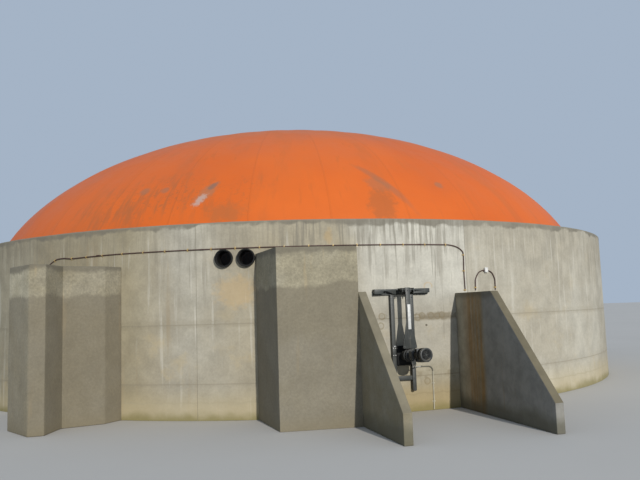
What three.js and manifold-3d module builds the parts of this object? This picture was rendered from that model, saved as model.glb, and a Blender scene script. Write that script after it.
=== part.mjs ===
// Biogas digester: a round cast concrete tank with a domed gas membrane, two inlet stubs,
// concrete blocks against its wall, and an agitator in a bay between two wing walls.
// Millimetres, +Z up. The origin is the tank's centre at the foot of the wall.
// Azimuths are in degrees, measured from the bay side (-Y) towards +X.
import * as THREE from 'three';
import { mergeVertices } from 'three/addons/utils/BufferGeometryUtils.js';
import Module from 'manifold-3d';

const wasm = await Module();
wasm.setup();

// Driving dimensions of the tank
const GAP = 0.3;
const INTO_FACET = 8;
const KEEP_OUT_MARGIN = 500;
const TANK_RADIUS = 10250;
const WALL_THICKNESS = 250;
const WALL_HEIGHT = 4000;
const WALL_SECTIONS = 11;
const FACETS_PER_SECTION = 8;
const FIRST_JOINT = 21.7;
const SLAB_THICKNESS = 250;

// Gas membrane: the cap of a flattened ellipsoid, clamped inside the wall
const DOME_RADIUS = 9866;
const DOME_RISE = 5768;
const DOME_CENTRE_Z = 2360;
const DOME_EDGE_Z = 3000;
const DOME_RINGS = 9;
const MEMBRANE_THICKNESS = 30;
const CLAMP_RAIL_HEIGHT = 100;

// Inlet stubs through the wall
const STUB_AZIMUTHS = { left: -7.68, right: -5.13 };
const STUB_Z = 3240;
const PIPE_RADIUS = 158;
const PIPE_BORE = 146;
const SOCKET_RADIUS = 185;
const SOCKET_BORE = 160;
const SOCKET_LENGTH = 90;
const SOCKET_DEPTH = 75;
const PIPE_INSIDE = 60;
const PIPE_SIDES = 28;
const HOLE_REACH = 450;

// Concrete blocks against the wall, as plan corners in front of the wall
const BLOCK_ROOT = 9900;
const MIDDLE_BLOCK_TOP = 3310;
const MIDDLE_BLOCK_LEFT = [[-730, -10220], [-280, -11620]];
const MIDDLE_BLOCK_PAST_WING = 20;
const LEFT_BLOCK_TOP = 3163;
const LEFT_BLOCK_CORNERS = [[-5410, -8690], [-5580, -10360], [-4900, -11120], [-4620, -11050],
  [-4550, -10350], [-4440, -9240]];
const STEP_BLOCK_CORNERS = [[-4440, -9240], [-4550, -10350], [-3820, -9990], [-3530, -9620]];

// Wing walls of the agitator bay
const WING_SLOPE = 1.05;
const WING_NOSE_HEIGHT = 500;
const WING_THICKNESS = 160;
const WING_ROOT_INSET = 300;
const WINGS = {
  left: { root: 6.1, heading: 14, side: -1, top: 2450, level: 1200 },
  right: { root: 19.9, heading: 13.8, side: 1, top: 2400, level: 1430 },
};

// Conduits clipped to the wall, as azimuth and height along each route
const CONDUIT_RADIUS = 12;
const CONDUIT_SIDES = 8;
const CONDUIT_Z = 3443;
const CLIP_SIZE = [34, 44, 32];
const WALL_CONDUIT_STEPS = 80;
const LOOP_CONDUIT_STEPS = 32;
const MOTOR_CONDUIT_STEPS = 60;
const WALL_CONDUIT_ROUTE = [[-32.9, 2450], [-32.9, 3000], [-32.5, 3200], [-31.7, 3330], [-30.5, 3425],
  [-29.2, 3440], [-27.9, 3420], [-25, 3430], [-20, CONDUIT_Z], [-10, CONDUIT_Z], [0, CONDUIT_Z],
  [10, CONDUIT_Z], [18, 3440], [19.3, 3436], [20.4, 3395], [21.1, 3320], [21.35, 3220], [21.3, 2875],
  [21.34, 2440]];
const CLIP_FIRST_AZIMUTH = -31.2;
const CLIP_FIRST_Z = 3375;
const CLIP_LAST_AZIMUTH = 19.1;
const CLIP_COUNT = 19;
const DROP_CLIPS = [[21.35, 3220], [21.3, 2875], [21.34, 2460]];
const LOOP_ROUTE = [[22.9, 2450], [22.92, 2600], [23.0, 2700], [23.45, 2825], [24.0, 2875], [24.5, 2890],
  [25.0, 2878], [25.6, 2825], [25.98, 2700], [26.02, 2600], [26.02, 2450]];
const LOOP_CLIPS = [[22.9, 2510], [26.02, 2510]];
const JUNCTION_BOX = { azimuth: 24.6, z: 2890, width: 80, height: 104, depth: 60 };

// Agitator, in its own frame: x to the right, z up, and depths counted outwards from the wall
const AGITATOR_AZIMUTH = 12.4;
const INTO_WALL = -30;
const BEAM = { left: -560, right: 658, bottom: 2397, top: 2515, depth: 110, plate: 12, lip: 60 };
const LEFT_UPRIGHT = { left: -211, right: -127, bottom: 440, depth: 80 };
const RIGHT_UPRIGHT = { left: 214, right: 298, bottom: 950, depth: 80 };
const HOUSING = { bottom: 950, top: 1351, depth: 90 };
const CROSS_PIECE = { bottom: 654, top: 740, back: 20, front: 90 };
const FOOT_MEMBER = { left: 200, right: 277, bottom: 428, back: 20, front: 106 };
const MAST = { left: 15, right: 106, bottom: 1502, top: 2532, back: 320, front: 375 };
const MAST_FOOT = { top: 1930, left: -88, right: 210, back: 358, front: 370, clearance: 0.8 };
const ARMS = [
  { name: 'left', left: -70, right: MAST.left - GAP },
  { name: 'right', left: MAST.right + GAP, right: 195 },
];
const ARM = { bottom: 2412, top: 2525, front: 360 };
const LEVEL_STRIP = { left: 38, right: 100, bottom: 1690, top: 2190, depth: 4 };
const DRIVE = { x: 72, depth: 280, z: 1166, turn: 7, rise: 3.8 };
const GEARBOX = { radius: 134, length: 170, spigotRadius: 95, spigotLength: 260 };
const NECK = { radius: 75, flangeRadius: 120, length: 320, flange: 30 };
const MOTOR = { radius: 130, length: 120 };
const COWL = { radius: 134, length: 65, wall: 14, depth: 20 };
const TERMINAL_BOX = { left: -125, right: -40, bottom: -92, top: 88, start: 190, end: 290 };
const MOTOR_CONDUIT_ROUTE = [[22, 528, 1110], [24, 530, 1040], [60, 485, 985], [140, 340, 940],
  [235, 190, 910], [325, 75, 899], [385, 12, 895], [450, 6, 890], [560, 6, 882], [607, 6, 879], [645, 6, 862],
  [672, 6, 830], [682, 6, 784], [682, 6, 600], [681, 6, 400], [680, 6, 173], [680, 6, 20]];
const DRIVE_SIDES = 32;

const rad = THREE.MathUtils.degToRad;
const facetCount = WALL_SECTIONS * FACETS_PER_SECTION;
const innerRadius = TANK_RADIUS - WALL_THICKNESS;
const digester = new THREE.Group();

function surface(color, roughness, metalness = 0) {
  return () => new THREE.MeshStandardMaterial({ color, roughness, metalness });
}

const concrete = surface(0xb9b4a8, 0.92);
const membrane = surface(0xe2702c, 0.55);
const blackPlastic = surface(0x1c1c1e, 0.5);
const brownPlastic = surface(0x3a2a22, 0.6);
const creamPlastic = surface(0xd8d2bf, 0.6);
const whitePlastic = surface(0xe8e8e4, 0.5);
const greySteel = surface(0x42494b, 0.5, 0.3);
const darkCasting = surface(0x23272a, 0.55, 0.3);
const galvanised = surface(0x8d9294, 0.5, 0.7);

// Solids: a geometry with only merged positions, and the joins and cuts of it
function toSolid(geometry) {
  const bare = geometry.index ? geometry.toNonIndexed() : geometry.clone();
  bare.deleteAttribute('normal');
  bare.deleteAttribute('uv');
  const merged = mergeVertices(bare, 0.001);
  const vertProperties = new Float32Array(merged.attributes.position.array);
  const triVerts = new Uint32Array(merged.index.array);
  return new wasm.Manifold(new wasm.Mesh({ numProp: 3, vertProperties, triVerts }));
}

function toGeometry(solid) {
  const mesh = solid.getMesh();
  const geometry = new THREE.BufferGeometry();
  geometry.setAttribute('position', new THREE.BufferAttribute(new Float32Array(mesh.vertProperties), 3));
  geometry.setIndex(new THREE.BufferAttribute(new Uint32Array(mesh.triVerts), 1));
  geometry.computeVertexNormals();
  return geometry;
}

function join(...geometries) {
  return toGeometry(geometries.map(toSolid).reduce((whole, piece) => whole.add(piece)));
}

function cut(geometry, ...cutters) {
  const solid = toSolid(geometry);
  return toGeometry(cutters.map(toSolid).reduce((whole, cutter) => whole.subtract(cutter), solid));
}

function addPiece(name, geometry, material, parent = digester) {
  const mesh = new THREE.Mesh(geometry, material);
  mesh.name = name;
  parent.add(mesh);
  return mesh;
}

// A point on a circle of the tank, and a turned body whose axis stands up
function onCircle(radius, azimuth, z = 0) {
  return new THREE.Vector3(radius * Math.sin(rad(azimuth)), -radius * Math.cos(rad(azimuth)), z);
}

function turned(profile, segments, phase = 0) {
  const points = profile.map(([radius, z]) => new THREE.Vector2(radius, z));
  return new THREE.LatheGeometry(points, segments, rad(phase)).rotateX(Math.PI / 2);
}

function turnedOnTank(profile) {
  return turned(profile, facetCount, FIRST_JOINT);
}

// A prism that stands on a plan outline
function prism(corners, bottom, top) {
  const outline = new THREE.Shape(corners.map(([x, y]) => new THREE.Vector2(x, y)));
  const options = { depth: top - bottom, bevelEnabled: false };
  return new THREE.ExtrudeGeometry(outline, options).translate(0, 0, bottom);
}

// A box from its lowest to its highest corner
function box(low, high) {
  const size = high.map((value, axis) => value - low[axis]);
  const centre = high.map((value, axis) => (value + low[axis]) / 2);
  return new THREE.BoxGeometry(...size).translate(...centre);
}

// Depth outwards from the wall, as y in the agitator's frame
function off(depth) {
  return -(TANK_RADIUS + depth);
}

// A block in the agitator's frame, between two depths
function slab(left, right, bottom, top, back, front) {
  return box([left, off(front), bottom], [right, off(back), top]);
}

// An upright plate in the agitator's frame: an outline in x and z, between two depths
function uprightPlate(corners, back, front) {
  const outline = new THREE.Shape(corners.map(([x, z]) => new THREE.Vector2(x, z)));
  const plate = new THREE.ExtrudeGeometry(outline, { depth: front - back, bevelEnabled: false });
  return plate.rotateX(Math.PI / 2).translate(0, off(back), 0);
}

// Everything that rests against the tank is cut back to just clear of its wall
const keepOutRadius = TANK_RADIUS + GAP;
const keepOutTop = WALL_HEIGHT + KEEP_OUT_MARGIN;
const wallKeepOut = turnedOnTank([[0, -KEEP_OUT_MARGIN], [keepOutRadius, -KEEP_OUT_MARGIN],
  [keepOutRadius, keepOutTop], [0, keepOutTop]]);

// Tank wall, poured in sections, with the stub holes cut through
function wallSection(index) {
  const sweep = 360 / WALL_SECTIONS;
  const jointAllowance = GAP / 2 / TANK_RADIUS;
  const start = rad(FIRST_JOINT + index * sweep - 90) + jointAllowance;
  const end = start + rad(sweep) - 2 * jointAllowance;
  const outline = new THREE.Shape();
  outline.absarc(0, 0, TANK_RADIUS, start, end, false);
  outline.absarc(0, 0, innerRadius, end, start, true);
  const curveSegments = FACETS_PER_SECTION / 2;
  return new THREE.ExtrudeGeometry(outline, { depth: WALL_HEIGHT, bevelEnabled: false, curveSegments });
}

function stubPlace(geometry, azimuth) {
  return geometry.rotateX(Math.PI / 2).translate(0, -TANK_RADIUS, STUB_Z).rotateZ(rad(azimuth));
}

function stubHole(azimuth) {
  const radius = PIPE_RADIUS + GAP;
  const hole = new THREE.CylinderGeometry(radius, radius, HOLE_REACH * 2, PIPE_SIDES).rotateX(Math.PI / 2);
  return stubPlace(hole, azimuth);
}

const stubSection = WALL_SECTIONS - 1;
for (let index = 0; index < WALL_SECTIONS; index += 1) {
  const section = wallSection(index);
  const holes = Object.values(STUB_AZIMUTHS).map(stubHole);
  const geometry = index === stubSection ? cut(section, ...holes) : section;
  addPiece(`wall_segment_${String(index + 1).padStart(2, '0')}`, geometry, concrete());
}

// Floor slab inside the wall
const slabRadius = innerRadius - GAP;
const slabProfile = [[0, 0], [slabRadius, 0], [slabRadius, SLAB_THICKNESS], [0, SLAB_THICKNESS]];
addPiece('floor_slab', turnedOnTank(slabProfile), concrete());

// Membrane roof and the rail that clamps its edge to the inside of the wall
function domeRadiusAt(z, inset) {
  const height = (z - DOME_CENTRE_Z) / (DOME_RISE - inset);
  return (DOME_RADIUS - inset) * Math.sqrt(1 - height * height);
}

function domeArc(inset) {
  const edgeAngle = Math.asin((DOME_EDGE_Z - DOME_CENTRE_Z) / (DOME_RISE - inset));
  return Array.from({ length: DOME_RINGS + 1 }, (_, ring) => {
    const angle = edgeAngle + (Math.PI / 2 - edgeAngle) * (ring / DOME_RINGS);
    const radius = ring === DOME_RINGS ? 0 : (DOME_RADIUS - inset) * Math.cos(angle);
    return [radius, DOME_CENTRE_Z + (DOME_RISE - inset) * Math.sin(angle)];
  });
}

const domeProfile = [...domeArc(MEMBRANE_THICKNESS).reverse(), ...domeArc(0)];
addPiece('membrane_roof', turnedOnTank(domeProfile), membrane());

const railInner = domeRadiusAt(DOME_EDGE_Z, 0) + GAP;
const railOuter = innerRadius - GAP;
const railTop = DOME_EDGE_Z + CLAMP_RAIL_HEIGHT / 2;
const railBottom = DOME_EDGE_Z - CLAMP_RAIL_HEIGHT / 2;
const railProfile = [[railInner, railBottom], [railOuter, railBottom], [railOuter, railTop],
  [railInner, railTop], [railInner, railBottom]];
addPiece('membrane_clamp_rail', turnedOnTank(railProfile), galvanised());

// A plan point of a wing wall: along it from the tank, and across it from its bay face
function wingPoint({ root, heading, side }, along, across) {
  const foot = onCircle(TANK_RADIUS, root);
  const forward = onCircle(along, heading);
  const outward = onCircle(across * side, heading + 90);
  return [foot.x + forward.x + outward.x, foot.y + forward.y + outward.y];
}

// Concrete blocks, run back into the wall's curve and then cut clear of it
function wallBlock(corners, top) {
  const pushedIn = corners.map(([x, y], index) => {
    const atWall = index === 0 || index === corners.length - 1;
    const scale = atWall ? BLOCK_ROOT / Math.hypot(x, y) : 1;
    return [x * scale, y * scale];
  });
  return cut(prism(pushedIn, 0, top), wallKeepOut);
}

const besideWing = WING_THICKNESS + GAP;
const middleBlockCorners = [...MIDDLE_BLOCK_LEFT,
  wingPoint(WINGS.left, WINGS.left.level + MIDDLE_BLOCK_PAST_WING, besideWing),
  wingPoint(WINGS.left, 0, besideWing)];
const middlePrism = prism([...middleBlockCorners, wingPoint(WINGS.left, -WING_ROOT_INSET, besideWing),
  MIDDLE_BLOCK_LEFT[0].map((value) => value * BLOCK_ROOT / TANK_RADIUS)], 0, MIDDLE_BLOCK_TOP);
addPiece('middle_block', cut(middlePrism, wallKeepOut), concrete());
addPiece('left_block', wallBlock(LEFT_BLOCK_CORNERS, LEFT_BLOCK_TOP), concrete());
const stepCorners = STEP_BLOCK_CORNERS.map(([x, y]) => [x + GAP, y]);
addPiece('left_block_step', wallBlock(stepCorners, LEFT_BLOCK_TOP), concrete());

// Wing walls: level at the top of the fill, then sloping down to a low nose
function wingWall(wing) {
  const length = wing.level + (wing.top - WING_NOSE_HEIGHT) / WING_SLOPE;
  const outline = new THREE.Shape();
  outline.moveTo(-WING_ROOT_INSET, 0);
  outline.lineTo(length, 0);
  outline.lineTo(length, WING_NOSE_HEIGHT);
  outline.lineTo(wing.level, wing.top);
  outline.lineTo(-WING_ROOT_INSET, wing.top);
  const wall = new THREE.ExtrudeGeometry(outline, { depth: WING_THICKNESS, bevelEnabled: false });
  wall.rotateX(Math.PI / 2);
  wall.translate(0, wing.side > 0 ? WING_THICKNESS : 0, 0);
  wall.rotateZ(rad(wing.heading - 90));
  wall.translate(...wingPoint(wing, 0, 0), 0);
  return cut(wall, wallKeepOut);
}

addPiece('left_wing_wall', wingWall(WINGS.left), concrete());
addPiece('right_wing_wall', wingWall(WINGS.right), concrete());

// Inlet stubs: a pipe through the wall that opens into a socket outside
function inletStub(azimuth) {
  const socketStart = GAP;
  const socketEnd = SOCKET_LENGTH;
  const profile = [[PIPE_BORE, -WALL_THICKNESS - PIPE_INSIDE], [PIPE_RADIUS, -WALL_THICKNESS - PIPE_INSIDE],
    [PIPE_RADIUS, socketStart], [SOCKET_RADIUS, socketStart], [SOCKET_RADIUS, socketEnd],
    [SOCKET_BORE, socketEnd], [SOCKET_BORE, socketEnd - SOCKET_DEPTH], [PIPE_BORE, socketEnd - SOCKET_DEPTH],
    [PIPE_BORE, -WALL_THICKNESS - PIPE_INSIDE]];
  return stubPlace(turned(profile, PIPE_SIDES), azimuth);
}

addPiece('inlet_stub_left', inletStub(STUB_AZIMUTHS.left), blackPlastic());
addPiece('inlet_stub_right', inletStub(STUB_AZIMUTHS.right), blackPlastic());

// A route along the wall: an unrolled spline of azimuth and height, rolled onto the tank
class WallRoute extends THREE.Curve {
  constructor(stations, radius) {
    super();
    this.radius = radius;
    const unrolled = stations.map(([azimuth, z]) => new THREE.Vector2(rad(azimuth) * radius, z));
    this.unrolled = new THREE.SplineCurve(unrolled);
  }

  getPoint(t) {
    const flat = this.unrolled.getPoint(t);
    return onCircle(this.radius, THREE.MathUtils.radToDeg(flat.x / this.radius), flat.y);
  }
}

function tubeAlong(path, radius, steps) {
  const section = new THREE.Shape().absarc(0, 0, radius, 0, Math.PI * 2, false);
  const options = { steps, curveSegments: CONDUIT_SIDES / 2, extrudePath: path, bevelEnabled: false };
  return new THREE.ExtrudeGeometry(section, options);
}

function clipAt(azimuth, z) {
  const [width, height, depth] = CLIP_SIZE;
  return new THREE.BoxGeometry(width, depth, height).translate(0, -TANK_RADIUS - depth / 2 + INTO_FACET, z)
    .rotateZ(rad(azimuth));
}

function clippedConduit(route, clips, steps) {
  const path = new WallRoute(route, TANK_RADIUS + CONDUIT_RADIUS);
  const clipBlocks = clips.map(([azimuth, z]) => clipAt(azimuth, z));
  return cut(join(tubeAlong(path, CONDUIT_RADIUS, steps), ...clipBlocks), wallKeepOut);
}

const clipPitch = (CLIP_LAST_AZIMUTH - CLIP_FIRST_AZIMUTH) / (CLIP_COUNT - 1);
const runClips = Array.from({ length: CLIP_COUNT }, (_, index) => {
  const azimuth = CLIP_FIRST_AZIMUTH + index * clipPitch;
  return [azimuth, index === 0 ? CLIP_FIRST_Z : CONDUIT_Z];
});
const wallClips = [...runClips, ...DROP_CLIPS];
addPiece('wall_conduit', clippedConduit(WALL_CONDUIT_ROUTE, wallClips, WALL_CONDUIT_STEPS), brownPlastic());
addPiece('loop_conduit', clippedConduit(LOOP_ROUTE, LOOP_CLIPS, LOOP_CONDUIT_STEPS), brownPlastic());

// Junction box at the top of the loop, with the conduit running through its back
const junctionBlock = new THREE.BoxGeometry(JUNCTION_BOX.width, JUNCTION_BOX.depth, JUNCTION_BOX.height)
  .translate(0, -TANK_RADIUS - JUNCTION_BOX.depth / 2 + INTO_FACET, JUNCTION_BOX.z)
  .rotateZ(rad(JUNCTION_BOX.azimuth));
const loopPath = new WallRoute(LOOP_ROUTE, TANK_RADIUS + CONDUIT_RADIUS);
const loopRoom = tubeAlong(loopPath, CONDUIT_RADIUS + GAP, LOOP_CONDUIT_STEPS);
addPiece('junction_box', cut(junctionBlock, wallKeepOut, loopRoom), whitePlastic());

// Agitator frame, hung on the bay's back wall
const agitator = new THREE.Group();
agitator.rotation.z = rad(AGITATOR_AZIMUTH);
digester.add(agitator);
const bayWall = wallKeepOut.clone().rotateZ(rad(-AGITATOR_AZIMUTH));

function addToFrame(name, geometry, material) {
  return addPiece(name, geometry, material, agitator);
}

function onBayWall(left, right, bottom, top, depth) {
  return cut(slab(left, right, bottom, top, INTO_WALL, depth), bayWall);
}

// Top beam: a channel with its back against the wall and a lip along its front
const lipBack = BEAM.depth - BEAM.plate;
const beamWeb = slab(BEAM.left, BEAM.right, BEAM.bottom, BEAM.top, INTO_WALL, BEAM.plate);
const beamLow = slab(BEAM.left, BEAM.right, BEAM.bottom, BEAM.bottom + BEAM.plate, INTO_WALL, BEAM.depth);
const beamHigh = slab(BEAM.left, BEAM.right, BEAM.top - BEAM.plate, BEAM.top, INTO_WALL, BEAM.depth);
const beamLip = slab(BEAM.left, BEAM.right, BEAM.top - BEAM.lip, BEAM.top, lipBack, BEAM.depth);
addToFrame('agitator_top_beam', cut(join(beamWeb, beamLow, beamHigh, beamLip), bayWall), greySteel());

// Uprights under the beam, with the bearing housing between them
const underBeam = BEAM.bottom - GAP;
const besideLeft = LEFT_UPRIGHT.right + GAP;
const leftUpright = onBayWall(LEFT_UPRIGHT.left, LEFT_UPRIGHT.right, LEFT_UPRIGHT.bottom, underBeam,
  LEFT_UPRIGHT.depth);
const rightUpright = onBayWall(RIGHT_UPRIGHT.left, RIGHT_UPRIGHT.right, RIGHT_UPRIGHT.bottom, underBeam,
  RIGHT_UPRIGHT.depth);
const housing = onBayWall(besideLeft, RIGHT_UPRIGHT.left - GAP, HOUSING.bottom, HOUSING.top, HOUSING.depth);
addToFrame('agitator_left_upright', leftUpright, greySteel());
addToFrame('agitator_right_upright', rightUpright, greySteel());
addToFrame('agitator_bearing_housing', housing, darkCasting());

// Foot member under the right upright, and the cross piece that ties it to the left one
const footMember = slab(FOOT_MEMBER.left, FOOT_MEMBER.right, FOOT_MEMBER.bottom, HOUSING.bottom - GAP,
  FOOT_MEMBER.back, FOOT_MEMBER.front);
const crossPiece = slab(besideLeft, FOOT_MEMBER.left - GAP, CROSS_PIECE.bottom, CROSS_PIECE.top,
  CROSS_PIECE.back, CROSS_PIECE.front);
addToFrame('agitator_foot_member', footMember, greySteel());
addToFrame('agitator_cross_piece', crossPiece, greySteel());

// Arms from the beam out to the mast, one on each side of it
ARMS.forEach(({ name, left, right }) => {
  const arm = slab(left, right, ARM.bottom, ARM.top, BEAM.depth + GAP, ARM.front);
  addToFrame(`agitator_arm_${name}`, arm, greySteel());
});

// Drive frame: gearbox, neck, motor and cowl on one axis that rises and turns to the right outwards
const drive = new THREE.Group();
drive.position.set(DRIVE.x, off(DRIVE.depth), DRIVE.z);
drive.rotation.set(rad(-DRIVE.rise), 0, rad(DRIVE.turn), 'ZXY');
agitator.add(drive);
drive.updateMatrix();

function turnedOnDrive(profile) {
  return turned(profile, DRIVE_SIDES).rotateX(Math.PI / 2);
}

// Mast: a box section between the arms, with a flared plate that runs down to the gearbox
const rise = rad(DRIVE.rise);
const axisAtFoot = DRIVE.z + (MAST_FOOT.front - DRIVE.depth) * Math.tan(rise);
const footBottom = axisAtFoot + GEARBOX.radius / Math.cos(rise) + MAST_FOOT.clearance;
const mastTube = slab(MAST.left, MAST.right, MAST.bottom, MAST.top, MAST.back, MAST.front);
const mastFoot = uprightPlate([[MAST.left, MAST_FOOT.top], [MAST_FOOT.left, footBottom],
  [MAST_FOOT.right, footBottom], [MAST.right, MAST_FOOT.top]], MAST_FOOT.back, MAST_FOOT.front);
addToFrame('agitator_mast', join(mastTube, mastFoot), greySteel());

const stripBack = MAST.front + GAP;
const levelStrip = slab(LEVEL_STRIP.left, LEVEL_STRIP.right, LEVEL_STRIP.bottom, LEVEL_STRIP.top,
  stripBack, stripBack + LEVEL_STRIP.depth);
addToFrame('agitator_level_strip', levelStrip, whitePlastic());

// Gearbox, with a spigot that runs back to the housing's face
const housingFace = HOUSING.depth + GAP;
const housingRoom = slab(LEFT_UPRIGHT.left, RIGHT_UPRIGHT.right, 0, BEAM.top, INTO_WALL, housingFace)
  .applyMatrix4(drive.matrix.clone().invert());
const gearboxEnd = GEARBOX.length;
const gearbox = turnedOnDrive([[0, -GEARBOX.spigotLength], [GEARBOX.spigotRadius, -GEARBOX.spigotLength],
  [GEARBOX.spigotRadius, 0], [GEARBOX.radius, 0], [GEARBOX.radius, gearboxEnd], [0, gearboxEnd]]);
addPiece('agitator_gearbox', cut(gearbox, housingRoom), darkCasting(), drive);

const neckStart = gearboxEnd + GAP;
const neckEnd = neckStart + NECK.length;
const flangeStart = neckEnd - NECK.flange;
const neck = turnedOnDrive([[0, neckStart], [NECK.radius, neckStart], [NECK.radius, flangeStart],
  [NECK.flangeRadius, flangeStart], [NECK.flangeRadius, neckEnd], [0, neckEnd]]);
addPiece('agitator_neck', neck, darkCasting(), drive);

const motorStart = neckEnd + GAP;
const motorEnd = motorStart + MOTOR.length;
const motor = turnedOnDrive([[0, motorStart], [MOTOR.radius, motorStart], [MOTOR.radius, motorEnd],
  [0, motorEnd]]);
addPiece('agitator_motor', motor, darkCasting(), drive);

const cowlStart = motorEnd + GAP;
const cowlEnd = cowlStart + COWL.length;
const cowlMouth = COWL.radius - COWL.wall;
const cowl = turnedOnDrive([[0, cowlStart], [COWL.radius, cowlStart], [COWL.radius, cowlEnd],
  [cowlMouth, cowlEnd], [cowlMouth, cowlEnd - COWL.depth], [0, cowlEnd - COWL.depth]]);
addPiece('agitator_fan_cowl', cowl, darkCasting(), drive);

// Terminal box on the neck's left side, shaped to its round
const terminalBlock = box([TERMINAL_BOX.left, -TERMINAL_BOX.end, TERMINAL_BOX.bottom],
  [TERMINAL_BOX.right, -TERMINAL_BOX.start, TERMINAL_BOX.top]);
const neckRadius = NECK.radius + GAP;
const neckRoom = turnedOnDrive([[0, 0], [neckRadius, 0], [neckRadius, neckEnd], [0, neckEnd]]);
addPiece('agitator_terminal_box', cut(terminalBlock, neckRoom), darkCasting(), drive);

// Motor conduit: down from the terminal box, back to the wall, along it and down to the ground
const conduitPoints = MOTOR_CONDUIT_ROUTE.map(([x, depth, z]) => {
  const radius = TANK_RADIUS + depth;
  return new THREE.Vector3(x, -Math.sqrt(radius * radius - x * x), z);
});
const conduitPath = new THREE.CatmullRomCurve3(conduitPoints, false, 'centripetal');
const conduitTube = tubeAlong(conduitPath, CONDUIT_RADIUS, MOTOR_CONDUIT_STEPS);
const terminalRoom = box([TERMINAL_BOX.left, -TERMINAL_BOX.end, TERMINAL_BOX.bottom - GAP],
  [TERMINAL_BOX.right, -TERMINAL_BOX.start, TERMINAL_BOX.top]).applyMatrix4(drive.matrix);
addToFrame('motor_conduit', cut(conduitTube, bayWall, terminalRoom), creamPlastic());

export default digester;
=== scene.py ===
"""Biogas digester: the looks of a round concrete tank with a gas membrane roof and a wall agitator.

Metres, +Z up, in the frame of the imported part. Azimuths are in degrees from -Y towards +X.
"""
import math

import bmesh
import bpy
from bpy.props import BoolProperty, FloatProperty, FloatVectorProperty, IntProperty, PointerProperty
from mathutils import Matrix, Vector, noise


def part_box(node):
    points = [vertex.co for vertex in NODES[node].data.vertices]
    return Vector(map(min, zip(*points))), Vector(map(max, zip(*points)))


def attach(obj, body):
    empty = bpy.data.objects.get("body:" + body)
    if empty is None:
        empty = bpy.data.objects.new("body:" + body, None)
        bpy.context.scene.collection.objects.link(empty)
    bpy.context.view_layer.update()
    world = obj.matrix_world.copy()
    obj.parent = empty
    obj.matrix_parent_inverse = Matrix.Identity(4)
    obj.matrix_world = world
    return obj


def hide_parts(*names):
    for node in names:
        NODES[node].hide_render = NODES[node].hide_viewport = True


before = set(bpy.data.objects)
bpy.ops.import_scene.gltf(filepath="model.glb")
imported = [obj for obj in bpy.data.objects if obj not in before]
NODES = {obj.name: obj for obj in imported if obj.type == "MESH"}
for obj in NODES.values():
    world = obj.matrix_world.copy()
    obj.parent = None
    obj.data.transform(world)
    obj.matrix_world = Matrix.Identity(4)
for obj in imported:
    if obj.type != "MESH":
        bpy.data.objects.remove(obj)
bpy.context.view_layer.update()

bl_info = {
    "name": "Biogas digester",
    "version": (1, 0, 0),
    "blender": (4, 5, 0),
    "location": "View3D > Sidebar > Digester",
    "description": "Builds a round concrete biogas digester with its membrane roof, blocks and agitator",
    "category": "Object",
}

ROOT = "root"

# Places on the tank
TANK_RADIUS = 10.25
WALL_THICKNESS = 0.25
WALL_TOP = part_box("wall_segment_01")[1].z
SECTIONS = 11
SECTION_SWEEP = 360.0 / SECTIONS
SECTION_GAP = 0.0006
FACE_PITCH = 0.13
FIRST_JOINT = 21.7
DOME_CENTRE_Z = 2.36
DOME_RADIUS = 9.866
RAIL_RADIUS = 9.81
RAIL_BOLTS = 120
MIDDLE_BLOCK_TOP = 3.31
LEFT_BLOCK_TOP = 3.163
WING_ROOT_AZIMUTH = 19.9
WING_HEADING = 13.9
AGITATOR_AZIMUTH = 12.4
STUB_AZIMUTHS = {"left": -7.68, "right": -5.13}
STUB_Z = 3.24
STUB_HOLE_RADIUS = 0.159
CONDUIT_RADIUS = 0.012

# How far a part on the wall stops short of the wall's face, or reaches into it
SEAT = 0.004

# Outwards, in a frame on the wall
OUT = (0, -1, 0)

# Formwork joints that printed through, and what they left on the wall in the bay
FORM_JOINTS = (0.735, 1.93)
TIE_RINGS = ((10.3, 1.959), (14.7, 1.915), (15.3, 1.945), (16.46, 1.942), (17.3, 1.93), (17.95, 1.948),
             (10.13, 1.766), (15.6, 0.596))

# The agitator's frame on the wall, and the drive's own frame, turned and raised from it
AGITATOR = Matrix.Rotation(math.radians(AGITATOR_AZIMUTH), 4, "Z") @ Matrix.Translation((0, -TANK_RADIUS, 0))
DRIVE_START = Vector((0.072, -0.280, 1.166))
DRIVE_TURN = 7.0
DRIVE_RISE = 3.8
DRIVE = (AGITATOR @ Matrix.Translation(DRIVE_START) @ Matrix.Rotation(math.radians(DRIVE_TURN), 4, "Z")
         @ Matrix.Rotation(math.radians(-DRIVE_RISE), 4, "X"))
UP_TO_OUT = Matrix.Rotation(math.radians(90), 4, "X")
DRIVE_AXIS = DRIVE @ UP_TO_OUT

# Conduit routes as azimuth and height; the first three spans of the wall conduit rise to its level run
WALL_CONDUIT = ((-32.9, 2.45), (-32.9, 3.0), (-32.5, 3.2), (-31.7, 3.33), (-30.5, 3.425), (-29.2, 3.44),
                (-27.9, 3.42), (-25, 3.43), (-20, 3.443), (-10, 3.443), (0, 3.443), (10, 3.443), (18, 3.44),
                (19.3, 3.436), (20.4, 3.395), (21.1, 3.32), (21.35, 3.22), (21.3, 2.875), (21.34, 2.44))
RISING_SPANS = 3
WALL_CONDUIT_STEPS = 14
SLEEVE_AZIMUTHS = (-24.0, -10.5, 3.0, 15.2)
SLEEVE_LEVEL = 3.4425
SLEEVE_SWEEP = 0.42
CLIP_SPAN = (-31.6, 18.85)
CLIP_COUNT = 19
FIRST_CLIPS = (-30.85, -27.93, -25.6)
DROP_CLIPS = ((21.35, 3.22), (21.3, 2.875), (21.34, 2.46))
LOOP_CONDUIT = ((22.9, 2.45), (22.92, 2.6), (23.0, 2.7), (23.45, 2.825), (24.0, 2.875), (24.5, 2.89),
                (25.0, 2.878), (25.6, 2.825), (25.98, 2.7), (26.02, 2.6), (26.02, 2.45))
LOOP_CLIPS = ((22.9, 2.51), (26.02, 2.51))
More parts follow.
